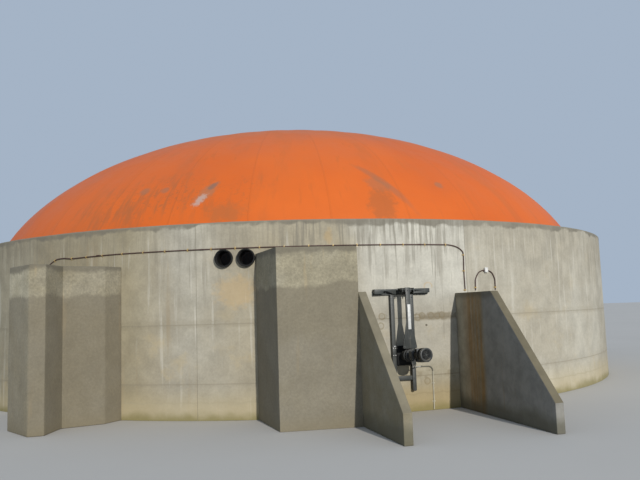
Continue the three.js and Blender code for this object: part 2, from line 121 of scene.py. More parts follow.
JUNCTION_BOX = {"azimuth": 24.6, "z": 2.89, "width": 0.08, "height": 0.104, "depth": 0.052}

# The motor's supply, as x, depth from the wall and z beside the agitator; its conduit is dirty up to the bend
MOTOR_CABLE = ((0.022, 0.528, 1.096), (0.024, 0.53, 1.04), (0.06, 0.485, 0.985), (0.14, 0.34, 0.94),
               (0.235, 0.19, 0.917), (0.325, 0.075, 0.908), (0.385, 0.016, 0.906), (0.45, 0.012, 0.904))
MOTOR_CONDUIT = ((0.43, 0.012, 0.904), (0.56, 0.012, 0.900), (0.62, 0.012, 0.897), (0.66, 0.012, 0.88),
                 (0.69, 0.012, 0.846), (0.70, 0.012, 0.80), (0.70, 0.012, 0.6), (0.698, 0.012, 0.4),
                 (0.695, 0.012, 0.173), (0.69, 0.012, 0.02))
MOTOR_BEND = 5
MOTOR_SLEEVES = (("dirty_conduit", (0.425, 0.012, 0.905), (0.46, 0.012, 0.904)),
                 ("cream_conduit", (0.70, 0.012, 0.78), (0.70, 0.012, 0.74)))
MOTOR_GLAND = ((0.022, 0.528, 1.094), (0.0225, 0.5285, 1.064))
MOTOR_CLIP_X = 0.698
MOTOR_CLIP_HEIGHTS = (0.55, 0.18)

# The photograph's view
CAMERA_PLACE = Vector((0.0, -23.4894, 2.1848))
CAMERA_YAW = 0.0452119
CAMERA_PITCH = 0.1033138
CAMERA_ROLL = -0.0319276
CAMERA_LENS = 36.5625
SENSOR_WIDTH = 36.0

# The stage
FLOOR_RADIUS = 300.0
FLOOR_DROP = 0.004
KEY_WIDTH = 0.8
KEY_TONE = (1.0, 0.965, 0.90)

# Plastics and small painted parts: tone, roughness, specular level
PLASTICS = {
    "black_pipe": ((0.009, 0.0085, 0.008), 0.5, 0.22),
    "seal_rubber": ((0.008, 0.008, 0.008), 0.7, 0.5),
    "brown_conduit": ((0.058, 0.027, 0.02), 0.5, 0.5),
    "clip_plastic": ((0.50, 0.34, 0.10), 0.5, 0.5),
    "box_plastic": ((0.70, 0.69, 0.66), 0.45, 0.5),
    "strip_plastic": ((0.62, 0.62, 0.60), 0.45, 0.5),
    # The arm edges' light grey is a painted highlight of the sunlit open ends of the arms.
    "arm_edges": ((0.13, 0.135, 0.135), 0.5, 0.5),
    # The terminal lid's light tone is painted light: it keeps the lid bright in the motor's shadow.
    "terminal_lid": ((0.062, 0.065, 0.066), 0.5, 0.5),
    "cream_conduit": ((0.47, 0.44, 0.34), 0.5, 0.5),
    "dirty_conduit": ((0.15, 0.145, 0.11), 0.5, 0.5),
    "flexible_conduit": ((0.5, 0.5, 0.47), 0.5, 0.5),
}


class TankLook(bpy.types.PropertyGroup):
    wall_tone: FloatVectorProperty(name="Wall tone", description="Clean cast concrete of the tank wall",
                                   default=(0.372, 0.341, 0.272), subtype="COLOR")
    rim_round: FloatProperty(name="Rim rounding", description="Radius of the wall's worn top edge",
                             default=0.022, unit="LENGTH")
    waviness: FloatProperty(name="Waviness", description="How far the formed face wanders in and out",
                            default=0.003, unit="LENGTH")
    face_steps: IntProperty(name="Steps", description="Steps around each poured section", default=48, min=8)


class RoofLook(bpy.types.PropertyGroup):
    orange: FloatVectorProperty(name="Orange", description="Colour of the coated fabric",
                                default=(0.605, 0.112, 0.008), subtype="COLOR")
    gores: IntProperty(name="Gores", description="Tapered strips that the roof is welded from",
                       default=32, min=8)
    thickness: FloatProperty(name="Thickness", description="Thickness of the shown fabric shell",
                             default=0.004, unit="LENGTH")


class BlockLook(bpy.types.PropertyGroup):
    block_tone: FloatVectorProperty(name="Block tone", description="Concrete of the blocks at the wall",
                                    default=(0.285, 0.255, 0.18), subtype="COLOR")
    wing_tone: FloatVectorProperty(name="Wing tone", description="Concrete of the bay's wing walls",
                                   default=(0.20, 0.175, 0.115), subtype="COLOR")
    edge_round: FloatProperty(name="Edge rounding", description="Worn edge of the cast blocks",
                              default=0.014, unit="LENGTH")


class AgitatorLook(bpy.types.PropertyGroup):
    frame_paint: FloatVectorProperty(name="Frame paint", description="Grey paint of the steel frame",
                                     default=(0.031, 0.035, 0.033), subtype="COLOR")
    drive_paint: FloatVectorProperty(name="Drive paint", description="Dark paint of the gearbox and motor",
                                     default=(0.034, 0.037, 0.038), subtype="COLOR")
    fins: IntProperty(name="Fins", description="Cooling fins around the motor", default=36, min=8)
    dusty: BoolProperty(name="Dust", description="Dust and rust specks on the paint", default=True)


class StageLook(bpy.types.PropertyGroup):
    floor_tone: FloatVectorProperty(name="Floor", description="Pale studio floor",
                                    default=(0.52, 0.50, 0.47), subtype="COLOR")
    sky_tone: FloatVectorProperty(name="Surround", description="Colour of the soft surrounding light",
                                  default=(0.375, 0.455, 0.565), subtype="COLOR")
    key_azimuth: FloatProperty(name="Key azimuth", description="Key light's side, from -Y towards +X",
                               default=math.radians(19.5), subtype="ANGLE")
    key_height: FloatProperty(name="Key height", description="Key light's angle above the floor",
                              default=math.radians(19.3), subtype="ANGLE")
    key_power: FloatProperty(name="Key power", description="Strength of the key light", default=3.1)


def look(group):
    return getattr(bpy.context.scene, group)


# Shader nodes by plain calls
class Finish:
    """A procedural material on Object coordinates. Tones are laid over one another, the base colour first."""

    def __init__(self, name, base, roughness=0.6, metallic=0.0, specular=0.5):
        self.material = bpy.data.materials.new(name)
        self.material.use_nodes = True
        self.nodes = self.material.node_tree.nodes
        self.links = self.material.node_tree.links
        self.shader = self.nodes["Principled BSDF"]
        self.shader.inputs["Roughness"].default_value = roughness
        self.shader.inputs["Metallic"].default_value = metallic
        self.shader.inputs["Specular IOR Level"].default_value = specular
        self.place = self.nodes.new("ShaderNodeTexCoord").outputs["Object"]
        self.x, self.y, self.z = self.split(self.place)
        self.colour = base

    def feed(self, socket, value):
        if isinstance(value, bpy.types.NodeSocket):
            self.links.new(value, socket)
        elif socket.type == "RGBA":
            socket.default_value = (*value[:3], 1.0)
        else:
            socket.default_value = value

    def math(self, operation, first, second=0.0):
        node = self.nodes.new("ShaderNodeMath")
        node.operation = operation
        for socket, value in zip(node.inputs, (first, second)):
            self.feed(socket, value)
        return node.outputs[0]

    def chain(self, operation, values):
        result = values[0]
        for value in values[1:]:
            result = self.math(operation, result, value)
        return result

    def times(self, *values):
        return self.chain("MULTIPLY", values)

    def plus(self, *values):
        return self.chain("ADD", values)

    def minus(self, first, second):
        return self.math("SUBTRACT", first, second)

    def either(self, *masks):
        return self.chain("MAXIMUM", masks)

    def centred(self, value, amount):
        """A noise value as an offset that is zero in its middle."""
        return self.times(self.minus(value, 0.5), amount)

    def azimuth(self):
        """The angle around the tank from -Y towards +X, in radians."""
        return self.math("ARCTAN2", self.x, self.times(self.y, -1.0))

    def split(self, vector):
        node = self.nodes.new("ShaderNodeSeparateXYZ")
        self.links.new(vector, node.inputs[0])
        return node.outputs

    def vector(self, x, y, z):
        node = self.nodes.new("ShaderNodeCombineXYZ")
        for socket, value in zip(node.inputs, (x, y, z)):
            self.feed(socket, value)
        return node.outputs[0]

    def facing(self, normal="Normal"):
        return self.nodes.new("ShaderNodeNewGeometry").outputs[normal]

    def mapped(self, vector, scale=(1, 1, 1), offset=(0, 0, 0), turn=0.0, inverse=False):
        node = self.nodes.new("ShaderNodeMapping")
        node.vector_type = "TEXTURE" if inverse else "POINT"
        self.feed(node.inputs["Vector"], vector)
        node.inputs["Location"].default_value = offset
        node.inputs["Rotation"].default_value = (0, 0, turn)
        node.inputs["Scale"].default_value = scale
        return node.outputs[0]

    def noise(self, vector, scale, detail=4.0, roughness=0.55):
        node = self.nodes.new("ShaderNodeTexNoise")
        self.feed(node.inputs["Vector"], vector)
        node.inputs["Scale"].default_value = scale
        node.inputs["Detail"].default_value = detail
        node.inputs["Roughness"].default_value = roughness
        return node.outputs[0]

    def runs(self, stretch, scale, detail, offset=(0, 0, 0), roughness=0.6, along=None):
        """Noise that is drawn out downwards, for what ran down a face."""
        vector = self.place if along is None else along
        return self.noise(self.mapped(vector, scale=(1, 1, stretch), offset=offset), scale, detail, roughness)

    def cells(self, vector, scale):
        node = self.nodes.new("ShaderNodeTexVoronoi")
        self.feed(node.inputs["Vector"], vector)
        node.inputs["Scale"].default_value = scale
        return node.outputs["Distance"]

    def ramp(self, value, low, high, bottom=0.0, top=1.0):
        node = self.nodes.new("ShaderNodeMapRange")
        node.interpolation_type = "SMOOTHSTEP"
        for name, number in (("Value", value), ("From Min", low), ("From Max", high), ("To Min", bottom),
                             ("To Max", top)):
            self.feed(node.inputs[name], number)
        return node.outputs[0]

    def band(self, value, centre, half, soft):
        away = self.math("ABSOLUTE", self.minus(value, centre))
        return self.ramp(away, half + soft, half)

    def spot(self, vector, centre, reach, turn=0.0, ragged=None, soft=0.6):
        near = self.mapped(vector, scale=reach, offset=centre, turn=turn, inverse=True)
        node = self.nodes.new("ShaderNodeVectorMath")
        node.operation = "LENGTH"
        self.feed(node.inputs[0], near)
        away = node.outputs["Value"]
        if ragged is not None:
            away = self.plus(away, ragged)
        return self.ramp(away, 1.0, 1.0 - soft)

    def tint(self, base, colour, share, blend="MIX"):
        node = self.nodes.new("ShaderNodeMix")
        node.data_type = "RGBA"
        node.blend_type = blend
        self.feed(node.inputs[0], share)
        self.feed(node.inputs[6], base)
        self.feed(node.inputs[7], colour)
        return node.outputs[2]

    def shade(self, base, factor):
        """The base times a grey factor."""
        return self.tint(base, self.vector(factor, factor, factor), 1.0, "MULTIPLY")

    def lay(self, tone, *masks, blend="MIX"):
        """Lay a tone over the colour, as far as all the masks let it through."""
        self.colour = self.tint(self.colour, tone, self.times(*masks), blend)

    def vary(self, value, low, high, darkest, lightest):
        """Make the colour darker and lighter with a value."""
        self.colour = self.shade(self.colour, self.ramp(value, low, high, darkest, lightest))

    def grain(self):
        """Height of a cast face: sand grain, soft lumps and small air holes."""
        grain = self.noise(self.place, 90.0, 3.0, 0.7)
        lumps = self.noise(self.place, 7.0, 4.0, 0.5)
        holes = self.ramp(self.cells(self.place, 16.0), 0.07, 0.12)
        return self.plus(self.times(grain, 0.35), self.times(lumps, 1.1), self.times(holes, 0.5))

    def finish(self, roughness=None, height=None, depth=0.002):
        self.feed(self.shader.inputs["Base Color"], self.colour)
        if roughness is not None:
            self.feed(self.shader.inputs["Roughness"], roughness)
        if height is not None:
            node = self.nodes.new("ShaderNodeBump")
            node.inputs["Strength"].default_value = 1.0
            node.inputs["Distance"].default_value = depth
            self.feed(node.inputs["Height"], height)
            self.links.new(node.outputs[0], self.shader.inputs["Normal"])
        return self.material


FINISHES = {}


def finish_of(maker, *settings):
    """Each finish is made once, when a piece first asks for it."""
    key = (maker.__name__, *settings)
    if key not in FINISHES:
        FINISHES[key] = maker(*settings)
    return FINISHES[key]


def paint(kind):
    return finish_of(painted_steel, kind)


def plastic(name):
    return finish_of(weathered_plastic, name)


def zinc():
    return finish_of(zinc_steel)


# Tank wall's concrete
def on_face(azimuth, height):
    """A place on the wall's face rolled out flat."""
    return math.radians(azimuth) * TANK_RADIUS, 0, height


def lay_wall_tones(mat, azimuth, patchy):
    """The tones of the wall's parts and of its poured sections."""
    mat.lay((0.435, 0.41, 0.342), mat.ramp(mat.noise(mat.place, 0.45, 3.0), 0.4, 0.62))
    mat.lay((0.545, 0.525, 0.457), mat.ramp(azimuth, 6.4, 9.5), mat.ramp(azimuth, 21.75, 21.6), 0.85)
    mat.lay((0.36, 0.315, 0.225), mat.ramp(azimuth, 7.4, 5.2), mat.ramp(azimuth, -14.0, -2.0), 0.8)
    mat.lay((0.92, 0.90, 0.82), mat.ramp(azimuth, -14.0, -20.0), blend="MULTIPLY")
    mat.lay((0.86, 0.87, 0.90), mat.ramp(azimuth, -26.0, -34.0), blend="MULTIPLY")
    pour = mat.nodes.new("ShaderNodeTexWhiteNoise")
    pour.noise_dimensions = "1D"
    number = mat.math("FLOOR", mat.math("DIVIDE", mat.minus(azimuth, FIRST_JOINT), SECTION_SWEEP))
    mat.feed(pour.inputs["W"], number)
    mat.vary(pour.outputs["Value"], 0.0, 1.0, 0.93, 1.05)
    mat.vary(patchy, 0.25, 0.75, 0.86, 1.1)
    mat.vary(mat.noise(mat.place, 22.0, 5.0, 0.7), 0.2, 0.8, 0.9, 1.08)


def lay_wall_damp(mat, azimuth, flat, fall, patchy):
    """Damp that ran down from the rim, rust and pale lime runs between, and the dark band under the rim."""
    reach = mat.ramp(fall, 0.0, 2.4, 0.13, -0.04)
    dark_runs = mat.ramp(mat.plus(mat.runs(0.07, 5.5, 4.0), reach), 0.60, 0.72)
    fine_runs = mat.ramp(mat.plus(mat.runs(0.05, 16.0, 3.0, (3.1, 1.7, 0.4)), reach), 0.63, 0.74)
    crowded = mat.either(mat.times(mat.ramp(azimuth, -8.0, 2.0), mat.ramp(azimuth, 24.0, 18.0)),
                         mat.ramp(mat.noise(mat.place, 0.3, 1.0), 0.45, 0.6, 0.35, 0.8))
    mat.lay((0.215, 0.195, 0.155), dark_runs, crowded, 0.5)
    mat.lay((0.19, 0.175, 0.14), fine_runs, crowded, 0.56)
    mat.lay((0.93, 0.895, 0.83), mat.ramp(azimuth, -12.0, -18.0), blend="MULTIPLY")
    rusty_runs = mat.ramp(mat.runs(0.05, 3.6, 5.0, (1.3, 6.6, 4.1)), 0.55, 0.7)
    mat.lay((0.30, 0.235, 0.145), rusty_runs, mat.ramp(azimuth, -2.0, -9.0), mat.ramp(fall, 0.15, 0.5), 0.5)
    lime_runs = mat.ramp(mat.runs(0.06, 8.0, 4.0, (8.3, 5.2, 2.9)), 0.56, 0.7)
    mat.lay((0.60, 0.575, 0.50), lime_runs, mat.ramp(fall, 0.1, 0.5), 0.35)
    lower_edge = mat.plus(mat.centred(mat.noise(flat, 0.7, 2.0), 0.32),
                          mat.centred(mat.noise(flat, 3.4, 4.0), 0.3), 0.10)
    rim_band = mat.ramp(mat.minus(lower_edge, fall), -0.03, 0.04)
    mat.lay((0.155, 0.14, 0.108), rim_band, mat.ramp(patchy, 0.3, 0.6, 0.5, 0.85))
    mat.lay((0.23, 0.21, 0.16), mat.ramp(fall, 0.05, 0.0, 0.0, 0.7))
    return rim_band


def lay_wall_stains(mat, azimuth, flat, fall, ragged):
    """Rust and ochre stains, and a pale strip of painted bounce light from the middle block's sunlit side."""
    stain = mat.ramp(mat.noise(mat.place, 1.1, 5.0, 0.6), 0.56, 0.70)
    mat.lay((0.47, 0.375, 0.215), stain, mat.ramp(mat.z, 3.0, 1.0, 0.12, 0.45))
    for centre, reach, tone, share in ((on_face(4.29, 3.64), (0.12, 1, 0.2), (0.45, 0.31, 0.14), 0.42),
                                       (on_face(-6.4, 2.55), (0.55, 1, 0.42), (0.50, 0.35, 0.17), 0.45)):
        mat.lay(tone, mat.spot(flat, centre, reach, ragged=ragged), share)
    # Pale strip beside the middle block: painted bounce light from the block's sunlit side.
    cream = mat.times(mat.band(azimuth, 7.05, 0.45, 0.12), mat.ramp(mat.z, 2.4, 2.5))
    mat.lay((0.45, 0.405, 0.30), cream, mat.ramp(fall, 0.25, 0.5), 0.35)


def lay_wall_joints(mat, azimuth, flat, patchy, uneven, ragged):
    """Formwork joints, printed as a line with ringed stains along it, and what the ties left."""
    rings = mat.band(mat.cells(mat.mapped(flat, scale=(1, 1, 1.2)), 5.2), 0.30, 0.045, 0.07)
    lower, upper = FORM_JOINTS
    for height, strength, first, last in ((upper, 0.75, 14.2, 19.4), (lower, 0.5, 13.2, 19.4)):
        here = mat.times(mat.ramp(azimuth, first - 1.0, first), mat.ramp(azimuth, last + 3.0, last))
        around = mat.band(mat.plus(mat.z, uneven), height, 0.045, 0.06)
        blotch = mat.either(rings, mat.ramp(patchy, 0.42, 0.6))
        mat.lay((0.25, 0.215, 0.15), around, blotch, mat.ramp(here, 0.0, 1.0, 0.3 * strength, strength))
        mat.lay((0.27, 0.24, 0.18), mat.band(mat.z, height - 0.02, 0.004, 0.008), 0.55)
    for tie in TIE_RINGS:
        outer = mat.spot(flat, on_face(*tie), (0.085, 1, 0.085), ragged=mat.times(ragged, 0.3), soft=0.25)
        inner = mat.spot(flat, on_face(*tie), (0.06, 1, 0.06), soft=0.35)
        mat.lay((0.27, 0.225, 0.14), mat.minus(outer, mat.times(inner, 0.75)), 0.6)
    rust_centre = on_face(16.26, 2.56)
    rust_ring = mat.minus(mat.spot(flat, rust_centre, (0.125, 1, 0.105), soft=0.3),
                          mat.spot(flat, rust_centre, (0.09, 1, 0.075), soft=0.3))
    mat.lay((0.46, 0.33, 0.18), rust_ring, mat.ramp(mat.z, 2.50, 2.56), 0.55)
    tie_hole = mat.spot(flat, on_face(15.81, 1.748), (0.03, 1, 0.026), soft=0.3)
    mat.lay((0.10, 0.085, 0.06), tie_hole, 0.85)
    thin_line = mat.band(mat.plus(mat.z, mat.times(uneven, 1.2)), 0.35, 0.006, 0.02)
    mat.lay((0.27, 0.25, 0.19), thin_line, 0.4)


def lay_wall_foot(mat, azimuth, flat, uneven):
    """The bay darkens and yellows downwards, with ochre low down and green at the foot."""
    near_bay = mat.times(mat.ramp(azimuth, 5.0, 7.0), mat.ramp(azimuth, 22.0, 19.0))
    mat.lay((0.84, 0.77, 0.66), mat.ramp(mat.z, 0.75, 0.3), near_bay, blend="MULTIPLY")
    bay = mat.times(mat.ramp(azimuth, 5.4, 6.6), mat.ramp(azimuth, 20.6, 20.0))
    level = mat.plus(mat.z, uneven)
    for tone, top, bottom in (((0.78, 0.76, 0.73), 2.55, 2.0), ((0.98, 0.95, 0.86), 1.25, 0.75),
                              ((0.78, 0.72, 0.60), 0.55, 0.12)):
        mat.lay(tone, bay, mat.ramp(level, top, bottom), blend="MULTIPLY")
    mat.lay((0.46, 0.38, 0.22), mat.ramp(level, 0.75, 0.15, 0.0, 0.5))
    green = mat.ramp(mat.plus(mat.z, mat.centred(mat.noise(flat, 2.5, 5.0), 0.3)), 0.22, 0.0)
    mat.lay((0.19, 0.165, 0.06), green, 0.75)


def wall_concrete():
    """Tank wall: cast in sections, run down with damp from the rim, with printed formwork joints."""
    mat = Finish("wall_concrete", look("tank_look").wall_tone[:], roughness=0.9, specular=0.3)
    azimuth = mat.math("DEGREES", mat.azimuth())
    flat = mat.vector(mat.times(azimuth, math.radians(TANK_RADIUS)), 0.0, mat.z)
    fall = mat.minus(WALL_TOP, mat.z)
    patchy = mat.noise(mat.place, 2.4, 6.0, 0.62)
    ragged = mat.centred(mat.noise(mat.place, 9.0, 4.0), 1.1)
    uneven = mat.centred(mat.noise(flat, 5.0, 3.0), 0.10)
    lay_wall_tones(mat, azimuth, patchy)
    rim_band = lay_wall_damp(mat, azimuth, flat, fall, patchy)
    lay_wall_stains(mat, azimuth, flat, fall, ragged)
    lay_wall_joints(mat, azimuth, flat, patchy, uneven, ragged)
    lay_wall_foot(mat, azimuth, flat, uneven)
    # The hairline where one poured section meets the next
    from_middle = mat.minus(azimuth, FIRST_JOINT - 0.5 * SECTION_SWEEP)
    along_section = mat.math("FRACT", mat.math("DIVIDE", from_middle, SECTION_SWEEP))
    mat.lay((0.20, 0.185, 0.14), mat.band(along_section, 0.5, 0.0006, 0.0008), 0.5)
    return mat.finish(mat.ramp(rim_band, 0.0, 1.0, 0.92, 0.8), mat.grain(), 0.0022)


# Concrete of the blocks, the wing walls and the slab
def block_concrete():
    """Blocks against the wall: ochre grey, damp along their tops and below a slanting damp line; on the left
    blocks the faces turned left are painted lighter as painted light.
    """
    mat = Finish("block_concrete", look("block_look").block_tone[:], roughness=0.9, specular=0.3)
    mat.lay((0.325, 0.30, 0.232), mat.ramp(mat.noise(mat.place, 0.9), 0.4, 0.65))
    # On the left blocks, faces turned to the left are lightened as painted light for sun they miss; their
    # other faces take a plain darker tone.
    leftwards = mat.ramp(mat.split(mat.facing())[0], -0.25, -0.45)
    left_block_tone_and_painted_light = mat.tint((0.84, 0.82, 0.78), (1.35, 1.32, 1.24), leftwards)
    mat.lay(mat.tint((1.0, 1.0, 1.0), left_block_tone_and_painted_light, mat.ramp(mat.x, -2.4, -2.6)), 1.0, blend="MULTIPLY")
    mat.vary(mat.noise(mat.place, 2.6, 6.0, 0.62), 0.3, 0.7, 0.88, 1.10)
    mat.vary(mat.noise(mat.place, 22.0, 5.0, 0.7), 0.3, 0.7, 0.86, 1.12)
    mat.vary(mat.noise(mat.place, 24.0, 5.0, 0.7), 0.2, 0.8, 0.86, 1.12)
    mat.lay((0.40, 0.30, 0.16), mat.ramp(mat.runs(0.08, 7.0, 4.0), 0.58, 0.74, 0.0, 0.45))
    wander = mat.plus(mat.centred(mat.noise(mat.place, 1.6, 5.0, 0.6), 0.34),
                      mat.centred(mat.noise(mat.place, 9.0, 4.0), 0.10))
    block_top = mat.ramp(mat.x, -2.6, -2.4, LEFT_BLOCK_TOP, MIDDLE_BLOCK_TOP)
    below_top = mat.plus(mat.minus(block_top, mat.z), wander)
    mat.lay((0.135, 0.12, 0.09), mat.ramp(below_top, 0.17, 0.05, 0.0, 0.75))
    slant = mat.times(mat.ramp(mat.x, -0.2, 1.3), 0.10)
    damp_line = mat.minus(mat.plus(mat.z, wander), slant)
    mat.lay((0.15, 0.13, 0.095), mat.ramp(damp_line, 2.62, 2.52, 0.0, 0.62))
    mat.lay((0.20, 0.17, 0.11), mat.ramp(mat.z, 0.35, 0.0, 0.0, 0.5))
    return mat.finish(None, mat.grain(), 0.0025)


def wing_concrete(side):
    """Wing walls of the bay: darker and brown, the right one run down with rust and algae."""
    mat = Finish(f"wing_concrete_{side}", look("block_look").wing_tone[:], roughness=0.88, specular=0.3)
    patchy = mat.noise(mat.place, 2.2, 6.0, 0.62)
    mat.lay((0.235, 0.215, 0.16), mat.ramp(patchy, 0.35, 0.7))
    mat.vary(mat.noise(mat.place, 24.0, 5.0, 0.7), 0.2, 0.8, 0.88, 1.1)
    if side == "right":
        lay_wing_runs(mat, patchy)
    crest = (0.150, 0.129, 0.084) if side == "right" else (0.205, 0.18, 0.125)
    upper = mat.shade(crest, mat.ramp(patchy, 0.3, 0.7, 0.85, 1.12))
    mat.lay(upper, mat.ramp(mat.split(mat.facing())[2], 0.2, 0.5))
    damp = mat.plus(mat.z, mat.centred(mat.noise(mat.place, 1.4, 5.0, 0.6), 0.5))
    mat.lay((0.10, 0.095, 0.065), mat.ramp(damp, 0.42, 0.12, 0.0, 0.7))
    return mat.finish(None, mat.grain(), 0.0025)


def lay_wing_runs(mat, patchy):
    """The right wing wall's bands, as they follow one another outwards from the tank."""
    root = on_wall(WING_ROOT_AZIMUTH, 0.0)
    heading = math.radians(WING_HEADING)
    outwards = mat.mapped(mat.place, offset=tuple(root), turn=heading - math.pi / 2, inverse=True)
    along = mat.split(outwards)[0]
    steep = mat.runs(0.05, 6.0, 5.0, along=outwards)
    narrow = mat.runs(0.04, 15.0, 3.0, (5, 2, 7), along=outwards)
    inner = mat.ramp(mat.noise(mat.place, 1.0, 2.0), 0.2, 0.8, 0.85, 1.0)
    mat.lay((0.33, 0.30, 0.23), mat.ramp(along, 1.0, 0.4), inner)
    mat.lay((0.225, 0.218, 0.198), mat.ramp(along, 0.96, 1.18), inner)
    brown = mat.times(mat.ramp(along, 0.20, 0.66), mat.ramp(along, 1.13, 0.98))
    mat.lay((0.25, 0.145, 0.05), brown, mat.ramp(steep, 0.34, 0.6, 0.25, 1.0), 0.85)
    mat.lay((0.29, 0.15, 0.045), brown, mat.ramp(narrow, 0.5, 0.68), 0.6)
    mat.vary(mat.noise(mat.place, 3.4, 6.0, 0.66), 0.3, 0.7, 0.82, 1.14)
    mat.lay((0.22, 0.16, 0.08), mat.ramp(narrow, 0.6, 0.72), mat.ramp(along, 0.0, 0.5), 0.4)
    upper_edge = mat.plus(mat.z, mat.centred(patchy, 0.2))
    mat.lay((0.09, 0.08, 0.055), mat.ramp(upper_edge, 2.22, 2.36, 0.0, 0.6))


def slab_concrete():
    """Floor slab, plain and damp."""
    mat = Finish("slab_concrete", (0.30, 0.28, 0.23), roughness=0.85, specular=0.3)
    mat.lay((0.40, 0.375, 0.31), mat.ramp(mat.noise(mat.place, 0.8, 5.0), 0.35, 0.65))
    return mat.finish(None, mat.grain(), 0.002)


# Membrane's fabric
def lay_membrane_marks(mat, cloud, fine, fine_streaks):
    """Dust, the grey scuff, and the long dark smear with its fan."""
    flank_edge = mat.centred(cloud, 1.4)
    flank = mat.spot(mat.place, (-3.2, -8.2, 4.72), (3.4, 2.0, 0.95), ragged=flank_edge, soft=0.8)
    speckle = mat.either(mat.ramp(fine_streaks, 0.46, 0.62), mat.ramp(fine, 0.5, 0.66))
    mat.lay((0.33, 0.108, 0.03), flank, speckle, 0.62)
    fine_edge = mat.centred(fine, 1.2)
    for centre, reach in (((-3.45, -7.98, 5.09), 0.19), ((-2.93, -8.21, 5.06), 0.14),
                          ((3.67, -7.88, 5.08), 0.16)):
        spot = mat.spot(mat.place, centre, (reach, reach, reach), ragged=fine_edge)
        mat.lay((0.25, 0.14, 0.08), spot, 0.55)

    rough_edge = mat.centred(mat.noise(mat.place, 5.0, 5.0, 0.7), 1.5)
    worn_edge = mat.centred(mat.noise(mat.place, 11.0, 4.0, 0.7), 1.8)
    cloudy_edge = mat.centred(cloud, 0.8)
    scuff_turn, smear_turn = -0.9, -0.56
    marks = (
        ((-1.93, -8.66, 4.86), (0.19, 0.6, 0.46), scuff_turn, rough_edge, 0.6, (0.33, 0.15, 0.07), 0.6),
        ((-2.06, -8.78, 4.72), (0.11, 0.5, 0.24), scuff_turn, worn_edge, 0.6, (0.45, 0.33, 0.28), 0.75),
        ((-1.78, -8.52, 5.06), (0.085, 0.34, 0.2), scuff_turn, worn_edge, 0.6, (0.18, 0.12, 0.09), 0.7),
        ((-1.44, -9.15, 4.34), (0.6, 0.5, 0.34), 0.0, rough_edge, 0.6, (0.40, 0.118, 0.028), 0.6),
        ((2.2, -8.38, 5.0), (1.15, 0.13, 1.6), smear_turn, cloudy_edge, 0.6, (0.28, 0.12, 0.06), 0.5),
        ((2.08, -8.47, 5.03), (0.42, 0.3, 0.42), smear_turn, rough_edge, 0.6, (0.30, 0.13, 0.06), 0.45),
        ((2.12, -8.95, 4.5), (0.42, 0.6, 0.62), 0.0, rough_edge, 0.5, (0.35, 0.102, 0.024), 0.55),
    )
    for centre, reach, turn, edge, soft, tone, share in marks:
        mat.lay(tone, mat.spot(mat.place, centre, reach, turn=turn, ragged=edge, soft=soft), share)


def lay_membrane_seams(mat, azimuth, across):
    """The welded seams between the gores."""
    gores = look("roof_look").gores
    along_gore = mat.math("FRACT", mat.times(mat.plus(azimuth, math.pi), gores / math.tau))
    off_middle = mat.math("ABSOLUTE", mat.minus(along_gore, 0.5))
    off_seam = mat.times(off_middle, mat.times(across, math.tau / gores))
    seam = mat.times(mat.ramp(off_seam, 0.026, 0.02), mat.ramp(across, 0.6, 0.7))
    mat.lay((0.48, 0.105, 0.012), seam, 0.22)
    return seam


def membrane_fabric():
    """Gas membrane: orange coated fabric, dull with dust, scuffed and streaked down its slope. Towards the
    crown it is painted duller, as painted shade and sky reflection; below the rim and on its inner side it is
    painted near black, as painted shade.
    """
    mat = Finish("membrane_fabric", look("roof_look").orange[:], roughness=0.5, specular=0.38)
    azimuth = mat.azimuth()
    across = mat.math("SQRT", mat.plus(mat.times(mat.x, mat.x), mat.times(mat.y, mat.y)))
    divisor = mat.math("MAXIMUM", across, 0.05)
    round_x, round_y = mat.math("DIVIDE", mat.x, divisor), mat.math("DIVIDE", mat.y, divisor)
    down_slope = mat.vector(mat.times(round_x, 9.0), mat.times(round_y, 9.0), mat.times(across, 0.3))
    cloud = mat.noise(mat.place, 1.1, 6.0, 0.65)
    fine = mat.noise(mat.place, 9.0, 5.0, 0.7)
    fine_streaks = mat.noise(down_slope, 5.0, 4.0, 0.6)
    mat.lay((0.64, 0.126, 0.011), mat.ramp(mat.noise(mat.place, 0.25, 3.0), 0.35, 0.65))
    mat.vary(cloud, 0.2, 0.8, 0.96, 1.03)
    # Duller and darker towards the crown: painted shade and sky reflection of the grazing light on the upper
    # roof.
    mat.lay((0.45, 0.132, 0.036), mat.ramp(across, 7.6, 4.5), 0.55)
    mat.lay((0.50, 0.116, 0.018), mat.ramp(mat.noise(down_slope, 1.5, 5.0, 0.62), 0.5, 0.72), 0.5)
    mat.lay((0.42, 0.103, 0.019), mat.ramp(fine_streaks, 0.58, 0.75), 0.3)
    lay_membrane_marks(mat, cloud, fine, fine_streaks)
    seam = lay_membrane_seams(mat, azimuth, across)

    # Grime at the foot of the slope; below the rim the fabric is painted near black, as painted shade for the
    # dark seen through the inlet stubs
    ragged_z = mat.plus(mat.z, mat.centred(mat.noise(mat.place, 3.0, 4.0), 0.3))
    mat.lay((0.28, 0.085, 0.025), mat.ramp(ragged_z, 4.12, 3.85, 0.0, 0.7))
    mat.lay((0.016, 0.014, 0.012), mat.ramp(mat.z, 3.86, 3.74))
    # The inner side is painted near black: painted shade for the dark inside of the tank
    outwards = mat.nodes.new("ShaderNodeVectorMath")
    outwards.operation = "DOT_PRODUCT"
    mat.feed(outwards.inputs[0], mat.facing("True Normal"))
    mat.feed(outwards.inputs[1], mat.vector(mat.x, mat.y, mat.minus(mat.z, DOME_CENTRE_Z)))
    mat.lay((0.012, 0.012, 0.013), mat.ramp(outwards.outputs["Value"], 0.1, -0.1))
    weave = mat.noise(mat.place, 120.0, 2.0)
    height = mat.plus(mat.times(seam, 0.8), mat.times(cloud, 0.8), mat.times(weave, 0.12))
    return mat.finish(mat.ramp(cloud, 0.3, 0.7, 0.5, 0.62), height, 0.004)


